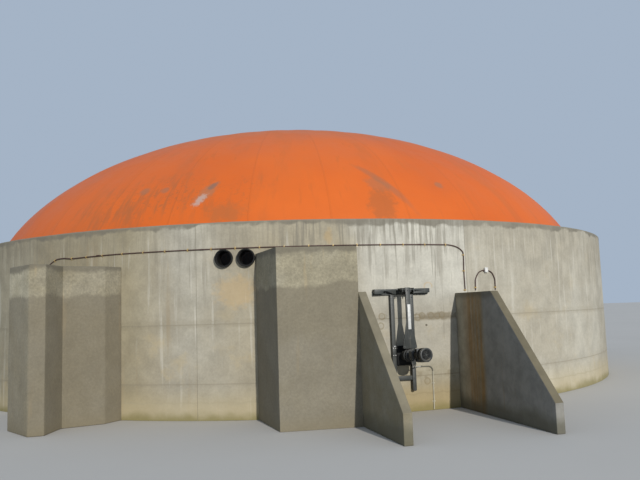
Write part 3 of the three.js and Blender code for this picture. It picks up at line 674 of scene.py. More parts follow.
# Paint, plastic and zinc
def painted_steel(kind):
    """Grey frame paint or the drive's dark paint, dusty and specked with rust, or a far darker copy of the
    drive paint that is painted shade, for parts that sit in shadow.
    """
    agitator_look = look("agitator_look")
    # The shade tone is painted shade: the drive paint at a fifth of its tone, without dust, for parts in the
    # drive's shadow.
    tones = {"frame": agitator_look.frame_paint[:], "drive": agitator_look.drive_paint[:],
             "shade": tuple(0.2 * channel for channel in agitator_look.drive_paint)}
    base = tones[kind]
    mat = Finish(f"{kind}_paint", base, roughness=0.45, specular=0.15 if kind == "shade" else 0.5)
    patchy = mat.noise(mat.place, 6.0, 5.0, 0.6)
    fine = mat.noise(mat.place, 60.0, 4.0, 0.6)
    mat.lay(tuple(channel * 1.35 for channel in base), mat.ramp(patchy, 0.35, 0.7))
    if agitator_look.dusty and kind != "shade":
        upwards = mat.ramp(mat.split(mat.facing())[2], 0.3, 0.95)
        mat.lay((0.22, 0.19, 0.14), upwards, mat.ramp(patchy, 0.3, 0.6, 0.3, 0.8))
        runs = mat.runs(0.1, 30.0, 3.0, roughness=0.55)
        mat.lay((0.15, 0.135, 0.105), mat.ramp(runs, 0.56, 0.74, 0.0, 0.35))
        specks = mat.ramp(mat.cells(mat.place, 45.0), 0.16, 0.08)
        mat.lay((0.16, 0.06, 0.025), specks, mat.ramp(patchy, 0.56, 0.66), 0.8)
    return mat.finish(mat.ramp(fine, 0.3, 0.7, 0.42, 0.58), fine, 0.0004)


def weathered_plastic(name):
    """Plain extruded or moulded plastic with a dusty film."""
    tone, roughness, specular = PLASTICS[name]
    mat = Finish(name, tone, roughness=roughness, specular=specular)
    patchy = mat.noise(mat.place, 11.0, 5.0, 0.6)
    fine = mat.noise(mat.place, 120.0, 3.0)
    dusty = tuple(0.72 * channel + min(0.03, 0.5 * channel + 0.004) for channel in tone)
    mat.lay(dusty, mat.ramp(patchy, 0.35, 0.7))
    return mat.finish(mat.ramp(patchy, 0.3, 0.7, roughness - 0.06, roughness + 0.12), fine, 0.0002)


def zinc_steel():
    """Galvanised steel with its spangle."""
    mat = Finish("zinc_steel", (0.42, 0.43, 0.44), roughness=0.42, metallic=0.85)
    spangle = mat.cells(mat.place, 60.0)
    dirt = mat.noise(mat.place, 8.0, 5.0)
    mat.lay((0.60, 0.61, 0.62), mat.ramp(spangle, 0.1, 0.6))
    mat.lay((0.24, 0.21, 0.17), mat.ramp(dirt, 0.55, 0.75, 0.0, 0.6))
    return mat.finish(mat.ramp(dirt, 0.3, 0.7, 0.36, 0.6), spangle, 0.0002)


# Meshes: each part is shaped in a bmesh of its own and then gathered into its piece
def mesh_of(name, part):
    mesh = bpy.data.meshes.new(name)
    part.to_mesh(mesh)
    part.free()
    return mesh


def linked(name, data):
    """An object in the scene."""
    thing = bpy.data.objects.new(name, data)
    bpy.context.scene.collection.objects.link(thing)
    return thing


def gather(part, mesh):
    """Add a mesh to a bmesh and drop it."""
    part.from_mesh(mesh)
    bpy.data.meshes.remove(mesh)


class Piece:
    """Parts gathered into one mesh. They take the piece's finish and place unless they are given others."""

    def __init__(self, name, finish, place=None):
        self.name = name
        self.finish = finish
        self.place = place
        self.whole = bmesh.new()
        self.finishes = []

    def add(self, part, finish=None, place=None):
        finish = self.finish if finish is None else finish
        place = self.place if place is None else place
        bmesh.ops.remove_doubles(part, verts=part.verts, dist=1e-6)
        bmesh.ops.recalc_face_normals(part, faces=part.faces)
        if place is not None:
            bmesh.ops.transform(part, matrix=place, verts=part.verts)
        if finish not in self.finishes:
            self.finishes.append(finish)
        for face in part.faces:
            face.material_index = self.finishes.index(finish)
        gather(self.whole, mesh_of("part", part))

    def add_bolts(self, points, finish, direction=OUT, **sizes):
        for point in points:
            self.add(bolt(point, direction, **sizes), finish)

    def done(self, slot, *replaced, sharp=32.0):
        mesh = mesh_of(self.name, self.whole)
        return place_piece(self.name, mesh, self.finishes, slot, *replaced, sharp=sharp)


def place_piece(name, mesh, finishes, slot, *replaced, sharp=32.0):
    for finish in finishes:
        mesh.materials.append(finish)
    mesh.shade_smooth()
    mesh.set_sharp_from_angle(angle=math.radians(sharp))
    piece = linked(name, mesh)
    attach(piece, ROOT)
    if replaced:
        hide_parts(*replaced)
    return piece


def rounded(part, width, segments=2, edges=None):
    bmesh.ops.bevel(part, geom=list(edges or part.edges), offset=width, segments=segments, profile=0.5,
                    affect="EDGES", material=-1, clamp_overlap=True)
    return part


def block(low, high, round_off=0.0, segments=2):
    part = bmesh.new()
    bmesh.ops.create_cube(part, size=1.0)
    low, high = Vector(low), Vector(high)
    bmesh.ops.scale(part, vec=high - low, verts=part.verts)
    bmesh.ops.translate(part, vec=(high + low) / 2, verts=part.verts)
    return rounded(part, round_off, segments) if round_off else part


def rod(start, end, radius, sides=20):
    part = bmesh.new()
    start, end = Vector(start), Vector(end)
    axis = end - start
    place = Matrix.Translation((start + end) / 2) @ axis.to_track_quat("Z", "Y").to_matrix().to_4x4()
    bmesh.ops.create_cone(part, cap_ends=True, cap_tris=False, segments=sides, radius1=radius,
                          radius2=radius, depth=axis.length, matrix=place)
    return part


def plate(outline, back, front, round_off=0.0, holes=()):
    """An upright plate in the agitator's frame: outline in x and z, between two depths from the wall."""
    part = bmesh.new()
    for loop in (outline, *holes):
        verts = [part.verts.new((x, -back, z)) for x, z in loop]
        for first, second in zip(verts, verts[1:] + verts[:1]):
            part.edges.new((first, second))
    if holes:
        bmesh.ops.triangle_fill(part, use_beauty=True, use_dissolve=False, edges=part.edges[:])
    else:
        part.faces.new(part.verts)
    made = bmesh.ops.extrude_face_region(part, geom=part.faces[:])["geom"]
    moved = [item for item in made if isinstance(item, bmesh.types.BMVert)]
    bmesh.ops.translate(part, vec=(0, back - front, 0), verts=moved)
    bmesh.ops.recalc_face_normals(part, faces=part.faces)
    if round_off:
        crisp = [edge for edge in part.edges if edge.calc_face_angle(0) > math.radians(40)]
        rounded(part, round_off, 2, crisp)
    return part


def spun(profile, steps=48, closed=False):
    """A profile of radius and height turned around Z."""
    part = bmesh.new()
    verts = [part.verts.new((radius, 0, height)) for radius, height in profile]
    after = verts[1:] + (verts[:1] if closed else [])
    edges = [part.edges.new(pair) for pair in zip(verts, after)]
    bmesh.ops.spin(part, geom=verts + edges, cent=(0, 0, 0), axis=(0, 0, 1), dvec=(0, 0, 0), angle=math.tau,
                   steps=steps, use_merge=True, use_duplicate=False)
    bmesh.ops.remove_doubles(part, verts=part.verts, dist=1e-5)
    return part


def bent_ring(radius, height, half, corners, steps):
    """A thin round bar bent into a ring around Z."""
    angles = [math.tau * corner / corners for corner in range(corners)]
    section = [(radius + half * math.cos(angle), height + half * math.sin(angle)) for angle in angles]
    return spun(section, steps, closed=True)


def swing(part, face, centre, axis, angle, steps):
    """Sweep a face around an axis into a body that keeps both ends."""
    bmesh.ops.spin(part, geom=[face, *face.edges, *face.verts], cent=centre, axis=axis, dvec=(0, 0, 0),
                   angle=angle, steps=steps, use_merge=False, use_duplicate=False)


def tube(points, radius, sides=12):
    """A round tube along points, closed at its ends."""
    line = bpy.data.curves.new("route", "CURVE")
    line.dimensions = "3D"
    line.bevel_depth = radius
    line.bevel_resolution = max(0, sides // 4 - 1)
    line.use_fill_caps = True
    spline = line.splines.new("POLY")
    spline.points.add(len(points) - 1)
    for target, point in zip(spline.points, points):
        target.co = (*point, 1.0)
    holder = linked("route", line)
    mesh = bpy.data.meshes.new_from_object(holder.evaluated_get(bpy.context.evaluated_depsgraph_get()))
    bpy.data.objects.remove(holder)
    bpy.data.curves.remove(line)
    part = bmesh.new()
    gather(part, mesh)
    return part


def bolt(point, direction, across=0.024, head=0.014, washer=True, stud=0.0):
    """A hexagon head or nut on a washer, with a stud through it where it is an anchor."""
    point, direction = Vector(point), Vector(direction).normalized()
    rods = [rod(point, point + direction * head, across / math.sqrt(3), 6)]
    if washer:
        rods.append(rod(point, point + direction * 0.003, across * 0.95, 14))
    if stud:
        rods.append(rod(point, point + direction * (head + stud), across * 0.28, 8))
    part = bmesh.new()
    for each in rods:
        gather(part, mesh_of("bolt", each))
    return part


def smooth_route(stations, steps=8):
    """A spline through the stations, with a number of steps between each two."""
    points = [Vector(station) for station in stations]
    padded = [points[0], *points, points[-1]]
    route = []
    for index in range(len(points) - 1):
        before, here, after, beyond = padded[index:index + 4]
        for step in range(steps):
            t = step / steps
            square = (2 * before - 5 * here + 4 * after - beyond) * t ** 2
            cube = (3 * here - before - 3 * after + beyond) * t ** 3
            route.append(0.5 * (2 * here + (after - before) * t + square + cube))
    return [*route, points[-1]]


def on_wall(azimuth, height, out=0.0):
    """A place on the wall's face, or a distance out from it."""
    angle = math.radians(azimuth)
    radius = TANK_RADIUS + out
    return Vector((radius * math.sin(angle), -radius * math.cos(angle), height))


def wall_place(azimuth, height=0.0):
    """A frame on the wall: x to the right, -y outwards, z up."""
    return Matrix.Rotation(math.radians(azimuth), 4, "Z") @ Matrix.Translation((0, -TANK_RADIUS, height))


def extent(node, place):
    """The lowest and highest corner of a node in another frame."""
    back = place.inverted()
    places = [back @ vert.co for vert in NODES[node].data.vertices]
    low = Vector([min(point[axis] for point in places) for axis in range(3)])
    high = Vector([max(point[axis] for point in places) for axis in range(3)])
    return low, high


def bored(mesh, cutters):
    """The mesh with the cutters' shapes taken out of it."""
    target = linked("bored", mesh)
    tools = []
    for cutter in cutters:
        tool = linked("cutter", mesh_of("cutter", cutter))
        tools.append(tool)
        hole = target.modifiers.new("hole", "BOOLEAN")
        hole.operation = "DIFFERENCE"
        hole.solver = "EXACT"
        hole.object = tool
    result = bpy.data.meshes.new_from_object(target.evaluated_get(bpy.context.evaluated_depsgraph_get()))
    for item in (target, *tools):
        bpy.data.objects.remove(item)
    return result


# Tank wall
def wall_profile():
    """Radius and height around the wall's section, with a ridge at each formwork joint."""
    outer, inner = TANK_RADIUS - 0.003, TANK_RADIUS - WALL_THICKNESS
    crown = look("tank_look").rim_round
    levels = [FACE_PITCH * step for step in range(1, 30)]
    ridges = [(outer + push, joint + rise) for joint in FORM_JOINTS
              for push, rise in ((0.0, -0.012), (0.004, -0.002), (0.004, 0.004), (0.0, 0.007))]
    clear = [level for level in levels if all(abs(level - joint) > 0.03 for joint in FORM_JOINTS)]
    face = sorted([(outer, level) for level in clear] + ridges, key=lambda corner: corner[1])
    rounding = [(outer - crown + crown * math.cos(angle), WALL_TOP - crown + crown * math.sin(angle))
                for angle in (0, math.pi / 8, math.pi / 4, 3 * math.pi / 8, math.pi / 2)]
    middle = [(inner + 0.16, WALL_TOP), (inner + 0.09, WALL_TOP)]
    inside = [(inner + 0.015, WALL_TOP), (inner, WALL_TOP - 0.015), (inner, 3.4), (inner, 2.6)]
    return [(inner, 0.0), (inner + 0.12, 0.0), (outer, 0.0), *face, *rounding, *middle, *inside]


def wear_wall(part):
    """Let the outer face wander in and out, and the rim up and down."""
    waviness = look("tank_look").waviness
    for vert in part.verts:
        outward = Vector((vert.co.x, vert.co.y, 0)).normalized()
        wander = noise.noise(vert.co * 0.9) + 0.5 * noise.noise(vert.co * 3.1)
        if vert.co.xy.length > TANK_RADIUS - 0.1:
            vert.co += outward * (wander * waviness)
        if vert.co.z > WALL_TOP - 0.04:
            vert.co.z += 0.005 * noise.noise(vert.co * 1.3) + 0.003 * noise.noise(vert.co * 6.0) - 0.004


def wall_section(profile, index):
    """One poured section, half a gap short at each of its ends."""
    part = bmesh.new()
    face = part.faces.new([part.verts.new((radius, 0, height)) for radius, height in profile])
    sweep = math.radians(SECTION_SWEEP) - SECTION_GAP / TANK_RADIUS
    swing(part, face, (0, 0, 0), (0, 0, 1), sweep, look("tank_look").face_steps)
    bmesh.ops.recalc_face_normals(part, faces=part.faces)
    caps = [face for face in part.faces if len(face.verts) > 6]
    rounded(part, 0.005, 1, {edge for cap in caps for edge in cap.edges})
    start = math.radians(FIRST_JOINT + index * SECTION_SWEEP - 90) + SECTION_GAP / 2 / TANK_RADIUS
    bmesh.ops.rotate(part, cent=(0, 0, 0), matrix=Matrix.Rotation(start, 3, "Z"), verts=part.verts)
    wear_wall(part)
    return mesh_of("wall_section", part)


def build_wall():
    profile = wall_profile()
    for index in range(SECTIONS):
        mesh = wall_section(profile, index)
        if index == SECTIONS - 1:
            holes = [rod(on_wall(azimuth, STUB_Z, -0.5), on_wall(azimuth, STUB_Z, 0.3), STUB_HOLE_RADIUS, 48)
                     for azimuth in STUB_AZIMUTHS.values()]
            mesh = bored(mesh, holes)
            mesh.materials.clear()
        number = f"{index + 1:02d}"
        place_piece(f"wall_section_{number}", mesh, [finish_of(wall_concrete)], "concrete",
                    f"wall_segment_{number}", sharp=28.0)


def dress_slab():
    """The floor slab stays as it is and gets its finish."""
    slab = NODES["floor_slab"]
    slab.data.materials.clear()
    slab.data.materials.append(finish_of(slab_concrete))


# Cast blocks and wing walls
def cast_copy(node, pitch, edge_round, roughness):
    """A node's solid as one cast body: worn edges and a slightly uneven face."""
    part = bmesh.new()
    part.from_mesh(NODES[node].data)
    bmesh.ops.remove_doubles(part, verts=part.verts, dist=1e-4)
    bmesh.ops.dissolve_limit(part, angle_limit=math.radians(1), use_dissolve_boundaries=False,
                             verts=part.verts, edges=part.edges)
    bmesh.ops.recalc_face_normals(part, faces=part.faces)
    worn = [edge for edge in part.edges if edge.calc_face_angle(0) > math.radians(25)]
    rounded(part, edge_round, 3, worn)
    low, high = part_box(node)
    for axis in range(3):
        normal = Vector([float(axis == other) for other in range(3)])
        count = max(1, round((high[axis] - low[axis]) / pitch))
        for step in range(1, count):
            at = low + normal * ((high[axis] - low[axis]) * step / count)
            bmesh.ops.bisect_plane(part, geom=part.verts[:] + part.edges[:] + part.faces[:], dist=1e-5,
                                   plane_co=at, plane_no=normal)
    bmesh.ops.recalc_face_normals(part, faces=part.faces)
    for vert in part.verts:
        if vert.co.xy.length > TANK_RADIUS + 0.03 and vert.co.z > 0.01:
            chips = noise.noise(vert.co * 9.0) * 0.5 + noise.noise(vert.co * 1.7)
            vert.co += vert.normal * (chips * roughness)
    return part


def build_cast(name, node, finish, pitch, edge_round, roughness):
    piece = Piece(name, finish)
    piece.add(cast_copy(node, pitch, edge_round, roughness))
    piece.done("concrete", node, sharp=40.0)


def build_blocks():
    edge_round = look("block_look").edge_round
    for node in ("middle_block", "left_block", "left_block_step"):
        build_cast(f"{node}_cast", node, finish_of(block_concrete), 0.14, edge_round, 0.004)


def build_wings():
    for side in ("left", "right"):
        finish = finish_of(wing_concrete, side)
        build_cast(f"{side}_wing_cast", f"{side}_wing_wall", finish, 0.16, 0.009, 0.003)


# Membrane roof and the rail that clamps it
def dome_profile(edge_z, rise, rings):
    """Radius and height from the membrane's edge up to its crown."""
    edge_angle = math.asin((edge_z - DOME_CENTRE_Z) / rise)
    profile = []
    for ring in range(rings):
        angle = edge_angle + (math.pi / 2 - edge_angle) * ring / rings
        profile.append((max(0.0, DOME_RADIUS * math.cos(angle)), DOME_CENTRE_Z + rise * math.sin(angle)))
    return [*profile, (0.0, DOME_CENTRE_Z + rise)]


def build_roof():
    low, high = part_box("membrane_roof")
    rise = high.z - DOME_CENTRE_Z
    gores = look("roof_look").gores
    part = spun(dome_profile(low.z, rise, 72), gores * 8)
    bmesh.ops.recalc_face_normals(part, faces=part.faces)
    for vert in part.verts:
        across = vert.co.xy.length
        azimuth = math.atan2(vert.co.x, -vert.co.y)
        bulge = abs(math.sin(azimuth * gores / 2))
        outward = Vector((vert.co.x / DOME_RADIUS ** 2, vert.co.y / DOME_RADIUS ** 2,
                          (vert.co.z - DOME_CENTRE_Z) / rise ** 2))
        swell = 0.010 * (bulge - 1) * min(1.0, across / 4.0)
        near_edge = max(0.0, 1 - (vert.co.z - low.z) / 0.8)
        ripple = 0.012 * math.sin(azimuth * gores * 3 + noise.noise(vert.co) * 4) * near_edge
        calm = 0.006 * noise.noise(vert.co * 0.5) - 0.006
        vert.co += outward.normalized() * (swell + ripple + calm)
    bmesh.ops.solidify(part, geom=part.faces[:], thickness=look("roof_look").thickness)
    piece = Piece("membrane_roof_fabric", finish_of(membrane_fabric))
    piece.add(part)
    roof = piece.done("membrane", "membrane_roof", sharp=60.0)


def build_rail():
    """One rolled section all round the wall's inside, with its bolts."""
    low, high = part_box("membrane_clamp_rail")
    inner, outer = RAIL_RADIUS, high.x
    middle = (low.z + high.z) / 2
    overhang, thick, bar_height, bar_edge = 0.08, 0.012, 0.046, 0.05
    rail = Piece("clamp_rail_ring", zinc())
    profile = [(inner - overhang, low.z), (outer, low.z), (outer, high.z), (outer - thick, high.z),
               (outer - thick, low.z + thick), (inner + bar_edge, low.z + thick), (inner + bar_edge, middle),
               (inner, middle), (inner, low.z + bar_height), (inner - overhang, low.z + bar_height)]
    rail.add(spun(profile, 176, closed=True))
    reach = inner + 0.1
    for index in range(RAIL_BOLTS):
        angle = math.tau * index / RAIL_BOLTS
        at = Vector((math.cos(angle) * reach, math.sin(angle) * reach, low.z + thick))
        rail.add(bolt(at, (0, 0, 1), 0.03, 0.02, stud=0.03))
    rail.done("galvanised_steel", "membrane_clamp_rail")


# Inlet stubs
def build_stubs():
    """A pipe through the wall that opens into a socket outside, with a seal in the socket's groove."""
    wall = [(0.146, -0.31), (0.158, -0.31), (0.158, -0.02), (0.183, -0.01), (0.185, 0.012), (0.185, 0.048),
            (0.180, 0.054), (0.180, 0.072), (0.1845, 0.077), (0.185, 0.085), (0.182, 0.09), (0.164, 0.09),
            (0.160, 0.086), (0.160, 0.064), (0.168, 0.06), (0.168, 0.042), (0.160, 0.038), (0.160, 0.02),
            (0.157, 0.014), (0.146, 0.014)]
    seal = [(0.1675, 0.043), (0.1675, 0.058), (0.161, 0.059), (0.157, 0.054), (0.161, 0.050), (0.156, 0.045)]
    for side, azimuth in STUB_AZIMUTHS.items():
        place = wall_place(azimuth, STUB_Z) @ UP_TO_OUT
        stub = Piece(f"inlet_stub_{side}_socket", plastic("black_pipe"), place)
        stub.add(spun(wall, 64, closed=True))
        stub.add(spun(seal, 64, closed=True), plastic("seal_rubber"))
        stub.done("black_plastic", f"inlet_stub_{side}")


# Conduits on the wall
def add_clip(piece, azimuth, height, upright, finish, screws):
    """A saddle clip: a band over the conduit, a foot on each side, and its two screws."""
    turn = Matrix.Rotation(math.radians(90), 4, "Y") if upright else Matrix.Identity(4)
    place = wall_place(azimuth, height) @ turn
    centre = (0, -CONDUIT_RADIUS, 0)
    width, reach, thick = 0.012, CONDUIT_RADIUS + 0.0035, 0.004
    band = bmesh.new()
    section = ((-width, -reach), (width, -reach), (width, -reach + thick), (-width, -reach + thick))
    face = band.faces.new([band.verts.new((x, -CONDUIT_RADIUS + y, 0)) for x, y in section])
    bmesh.ops.rotate(band, cent=centre, matrix=Matrix.Rotation(math.radians(100), 3, "X"), verts=band.verts)
    swing(band, face, centre, (1, 0, 0), math.radians(-200), 12)
    piece.add(band, finish, place)
    for side in (-1, 1):
        foot_z = side * (reach + 0.009)
        foot = block((-width, -0.005, foot_z - 0.011), (width, 0.002, foot_z + 0.011), 0.001, 1)
        piece.add(foot, finish, place)
        piece.add(rod((0, -0.004, foot_z), (0, -0.008, foot_z), 0.0055, 10), screws, place)


def conduit_tube(stations, steps):
    """A conduit that lies on the wall."""
    points = [on_wall(station.x, station.y, CONDUIT_RADIUS) for station in smooth_route(stations, steps)]
    return tube(points, CONDUIT_RADIUS, 16)


def build_wall_conduit():
    """The long run with its sleeves and clips."""
    conduit = Piece("wall_conduit_run", plastic("brown_conduit"))
    conduit.add(conduit_tube(WALL_CONDUIT, WALL_CONDUIT_STEPS))
    for azimuth in SLEEVE_AZIMUTHS:
        start = on_wall(azimuth, SLEEVE_LEVEL, CONDUIT_RADIUS)
        end = on_wall(azimuth + SLEEVE_SWEEP, SLEEVE_LEVEL, CONDUIT_RADIUS)
        conduit.add(rod(start, end, CONDUIT_RADIUS + 0.003, 16))
    route = smooth_route([(*station, 0) for station in WALL_CONDUIT], WALL_CONDUIT_STEPS)
    level_route = route[RISING_SPANS * WALL_CONDUIT_STEPS:]
    pitch = (CLIP_SPAN[1] - CLIP_SPAN[0]) / (CLIP_COUNT - 1)
    even = [CLIP_SPAN[0] + index * pitch for index in range(CLIP_COUNT)]
    for azimuth in (*FIRST_CLIPS, *even[len(FIRST_CLIPS):]):
        beside = min(level_route, key=lambda point: abs(point.x - azimuth))
        add_clip(conduit, azimuth, beside.y, False, plastic("clip_plastic"), zinc())
    for azimuth, height in DROP_CLIPS:
        add_clip(conduit, azimuth, height, True, plastic("clip_plastic"), zinc())
    conduit.done("brown_plastic", "wall_conduit")


def build_loop_conduit():
    loop = Piece("loop_conduit_run", plastic("brown_conduit"))
    loop.add(conduit_tube(LOOP_CONDUIT, 8))
    for azimuth, height in LOOP_CLIPS:
        add_clip(loop, azimuth, height, True, plastic("clip_plastic"), zinc())
    loop.done("brown_plastic", "loop_conduit")


def build_junction_box():
    """A case with a lid, a gland on each side for the conduit, and four lid screws."""
    wide, tall, depth = JUNCTION_BOX["width"] / 2, JUNCTION_BOX["height"] / 2, JUNCTION_BOX["depth"]
    place = wall_place(JUNCTION_BOX["azimuth"], JUNCTION_BOX["z"])
    case = Piece("junction_box_case", plastic("box_plastic"), place)
    case.add(block((-wide, -depth + 0.012, -tall), (wide, SEAT, tall), 0.008, 3))
    lid_x, lid_z = wide + 0.002, tall + 0.002
    case.add(block((-lid_x, -depth, -lid_z), (lid_x, -depth + 0.013, lid_z), 0.006, 3))
    for side in (-1, 1):
        gland_start = (side * (wide - 0.004), -CONDUIT_RADIUS, -0.018)
        gland_end = (side * (wide + 0.022), -CONDUIT_RADIUS, -0.02)
        case.add(rod(gland_start, gland_end, 0.0165, 12), plastic("brown_conduit"))
        for level in (-1, 1):
            x, z = side * (wide - 0.012), level * (tall - 0.012)
            case.add(rod((x, -depth - 0.002, z), (x, -depth + 0.002, z), 0.005, 10), zinc())
    case.done("white_plastic", "junction_box")


# Agitator frame
def rounded_outline(corners, radius, steps=4):
    """The outline with every corner turned into an arc."""
    points = []
    for index, corner in enumerate(corners):
        here = Vector(corner)
        before = (Vector(corners[index - 1]) - here).normalized()
        after = (Vector(corners[(index + 1) % len(corners)]) - here).normalized()
        half = before.angle(after) / 2
        centre = here + (before + after).normalized() * (radius / math.sin(half))
        first, last = here + before * (radius / math.tan(half)), here + after * (radius / math.tan(half))
        start, end = first - centre, last - centre
        for step in range(steps + 1):
            points.append(centre + start.lerp(end, step / steps).normalized() * radius)
    return [tuple(point) for point in points]


def side_plate(outline, left, right, round_off=0.0):
    """A plate that faces sideways in the agitator's frame: outline in depth and z, between two x."""
    part = plate(outline, -left, -right, round_off)
    turn = Matrix.Rotation(math.radians(-90), 3, "Z")
    bmesh.ops.rotate(part, cent=(0, 0, 0), matrix=turn, verts=part.verts)
    return part


def build_top_beam():
    """An open channel whose front is full height at its ends and a narrow lip between, with two braces."""
    low, high = extent("agitator_top_beam", AGITATOR)
    front, thick = -low.y, 0.010
    beam = Piece("agitator_beam_channel", paint("frame"), AGITATOR)
    beam.add(block((low.x, -thick, low.z), (high.x, SEAT, high.z), 0.002))
    beam.add(block((low.x, low.y, high.z - thick), (high.x, -SEAT, high.z), 0.003))
    beam.add(block((low.x, -0.05, low.z), (high.x - 0.045, -SEAT, low.z + thick), 0.003))
    left_brace_start, left_brace_end, right_brace_start, right_brace_end = -0.326, -0.109, 0.19, 0.495
    face_bottom = low.z + 0.018
    face = [(low.x, high.z), (high.x, high.z), (high.x, high.z - 0.075), (high.x - 0.045, face_bottom),
            (right_brace_start, face_bottom), (right_brace_start, high.z - 0.075),
            (right_brace_end, high.z - 0.050), (right_brace_start, high.z - 0.034),
            (left_brace_end + 0.02, high.z - 0.030), (left_brace_end + 0.02, low.z + 0.001),
            (left_brace_end - 0.03, low.z + 0.012), (left_brace_end - 0.17, high.z - 0.046),
            (left_brace_start - 0.03, high.z - 0.040), (left_brace_start - 0.05, face_bottom),
            (low.x, face_bottom)]
    beam.add(plate(face, front - thick, front, 0.001))
    for left, right in ((low.x, low.x + thick), (high.x - thick, high.x)):
        beam.add(block((left, low.y + 0.004, high.z - 0.085), (right, -SEAT, high.z - 0.004), 0.001))
    anchors = [(x, -thick, low.z + 0.05) for x in (-0.47, -0.30, 0.34, 0.53)]
    beam.add_bolts(anchors, paint("drive"), across=0.03, head=0.018, stud=0.02)
    beam.done("grey_paint", "agitator_top_beam")


def build_left_upright():
    """A post with a bolted splice plate, the lip above it and a plate across its top."""
    low, high = extent("agitator_left_upright", AGITATOR)
    post = Piece("agitator_left_post", paint("frame"), AGITATOR)
    post.add(block(low, (high.x, -SEAT, high.z), 0.006, 3))
    splice_front, splice_bottom, splice_top = low.y - 0.005, 1.135, 1.337
    post.add(block((low.x + 0.004, splice_front, splice_bottom), (high.x - 0.004, low.y, splice_top), 0.0015))
    lip_bottom, lip_top = 1.340, 1.350
    lip = block((low.x + 0.028, low.y - 0.022, lip_bottom), (high.x - 0.006, low.y + 0.002, lip_top), 0.0015)
    post.add(lip, zinc())
    splice_bolts = [(x, splice_front, z) for x in (-0.190, -0.144) for z in (1.163, 1.306)]
    post.add_bolts(splice_bolts, zinc(), across=0.011, head=0.009)
    post.add(block((low.x, low.y, high.z - 0.012), (high.x, -0.006, high.z), 0.002))
    anchors = [((low.x + high.x) / 2, low.y, z) for z in (0.52, 0.62)]
    post.add_bolts(anchors, paint("drive"), across=0.02, head=0.012)
    post.done("grey_paint", "agitator_left_upright")


def build_right_upright():
    low, high = extent("agitator_right_upright", AGITATOR)
    post = Piece("agitator_right_post", paint("frame"), AGITATOR)
    post.add(block(low, (high.x, -SEAT, high.z), 0.006, 3))
    anchors = [(high.x - 0.03, low.y, z) for z in (low.z + 0.08, 1.62, 1.70, high.z - 0.06)]
    post.add_bolts(anchors, paint("drive"), across=0.02, head=0.012)
    post.done("grey_paint", "agitator_right_upright")


def build_cross_piece():
    low, high = extent("agitator_cross_piece", AGITATOR)
    cross = Piece("agitator_cross_bar", paint("frame"), AGITATOR)
    cross.add(block(low, high, 0.005, 3))
    cross.add_bolts([(low.x + 0.06, low.y, (low.z + high.z) / 2)], paint("drive"), across=0.02, head=0.012)
    cross.done("grey_paint", "agitator_cross_piece")


def build_foot_member():
    """A post with a rounded lower end."""
    low, high = extent("agitator_foot_member", AGITATOR)
    radius = (high.x - low.x) / 2
    middle = low.x + radius
    foot_end = [(middle + radius * math.cos(angle), low.z + 0.5 * radius + 0.5 * radius * math.sin(angle))
                for angle in [math.pi + math.pi * step / 10 for step in range(11)]]
    foot = Piece("agitator_foot_post", paint("frame"), AGITATOR)
    foot.add(plate([*foot_end, (high.x, high.z), (low.x, high.z)], -high.y, -low.y, 0.005))
    for rise, head in ((0.055, 0.013), (0.26, 0.012)):
        foot.add_bolts([(middle, low.y, low.z + rise)], paint("drive"), across=0.02, head=head)
    foot.done("grey_paint", "agitator_foot_member")


def build_mast():
    """Box section with a wide flared plate at its foot and a holder for the level strip."""
    low, high = extent("agitator_mast", AGITATOR)
    strip_low, strip_high = extent("agitator_level_strip", AGITATOR)
    left, right, tube_end, waist = 0.015, 0.106, 1.502, 1.93
    tube_back, plate_back, plate_front = -0.320, -0.358, low.y + 0.003
    mast = Piece("agitator_mast_box", paint("frame"), AGITATOR)
    mast.add(block((left, plate_front + 0.002, tube_end), (right, tube_back, high.z), 0.004, 2))
    outline = [(left, high.z), (left, waist), (low.x, low.z + 0.03), (low.x + 0.01, low.z),
               (high.x - 0.01, low.z), (high.x, low.z + 0.03), (right, waist), (right, high.z)]
    mast.add(plate(outline, -plate_back, -plate_front, 0.001))
    holder_left, holder_right, holder_top = strip_low.x - 0.009, strip_high.x + 0.009, strip_high.z + 0.006
    holder = [(holder_left, tube_end), (holder_right, tube_end), (holder_right, holder_top),
              (holder_left, holder_top)]
    inside = rounded_outline([(strip_low.x, tube_end + 0.012), (strip_high.x, tube_end + 0.012),
                              (strip_high.x, strip_high.z), (strip_low.x, strip_high.z)], 0.004)
    mast.add(plate(holder, -plate_front, -low.y, 0.0, [inside[::-1]]), paint("drive"))
    for z in (2.28, 2.47):
        mast.add_bolts([((left + right) / 2, plate_front, z)], paint("drive"), across=0.018, head=0.010)
    for x, z in ((low.x + 0.03, low.z + 0.035), (high.x - 0.03, low.z + 0.035), (right + 0.012, 1.66)):
        mast.add_bolts([(x, plate_front, z)], paint("drive"), across=0.02, head=0.012)
    mast.done("grey_paint", "agitator_mast")

    strip = Piece("agitator_level_plate", plastic("strip_plastic"), AGITATOR)
    strip.add(block(strip_low, (strip_high.x, plate_front + 0.001, strip_high.z), 0.001))
    middle = (strip_low.x + strip_high.x) / 2
    for z in (strip_low.z + 0.02, strip_high.z - 0.02):
        strip.add(rod((middle, strip_low.y + 0.001, z), (middle, strip_low.y - 0.003, z), 0.005, 10), zinc())
    strip.done("white_plastic", "agitator_level_strip")


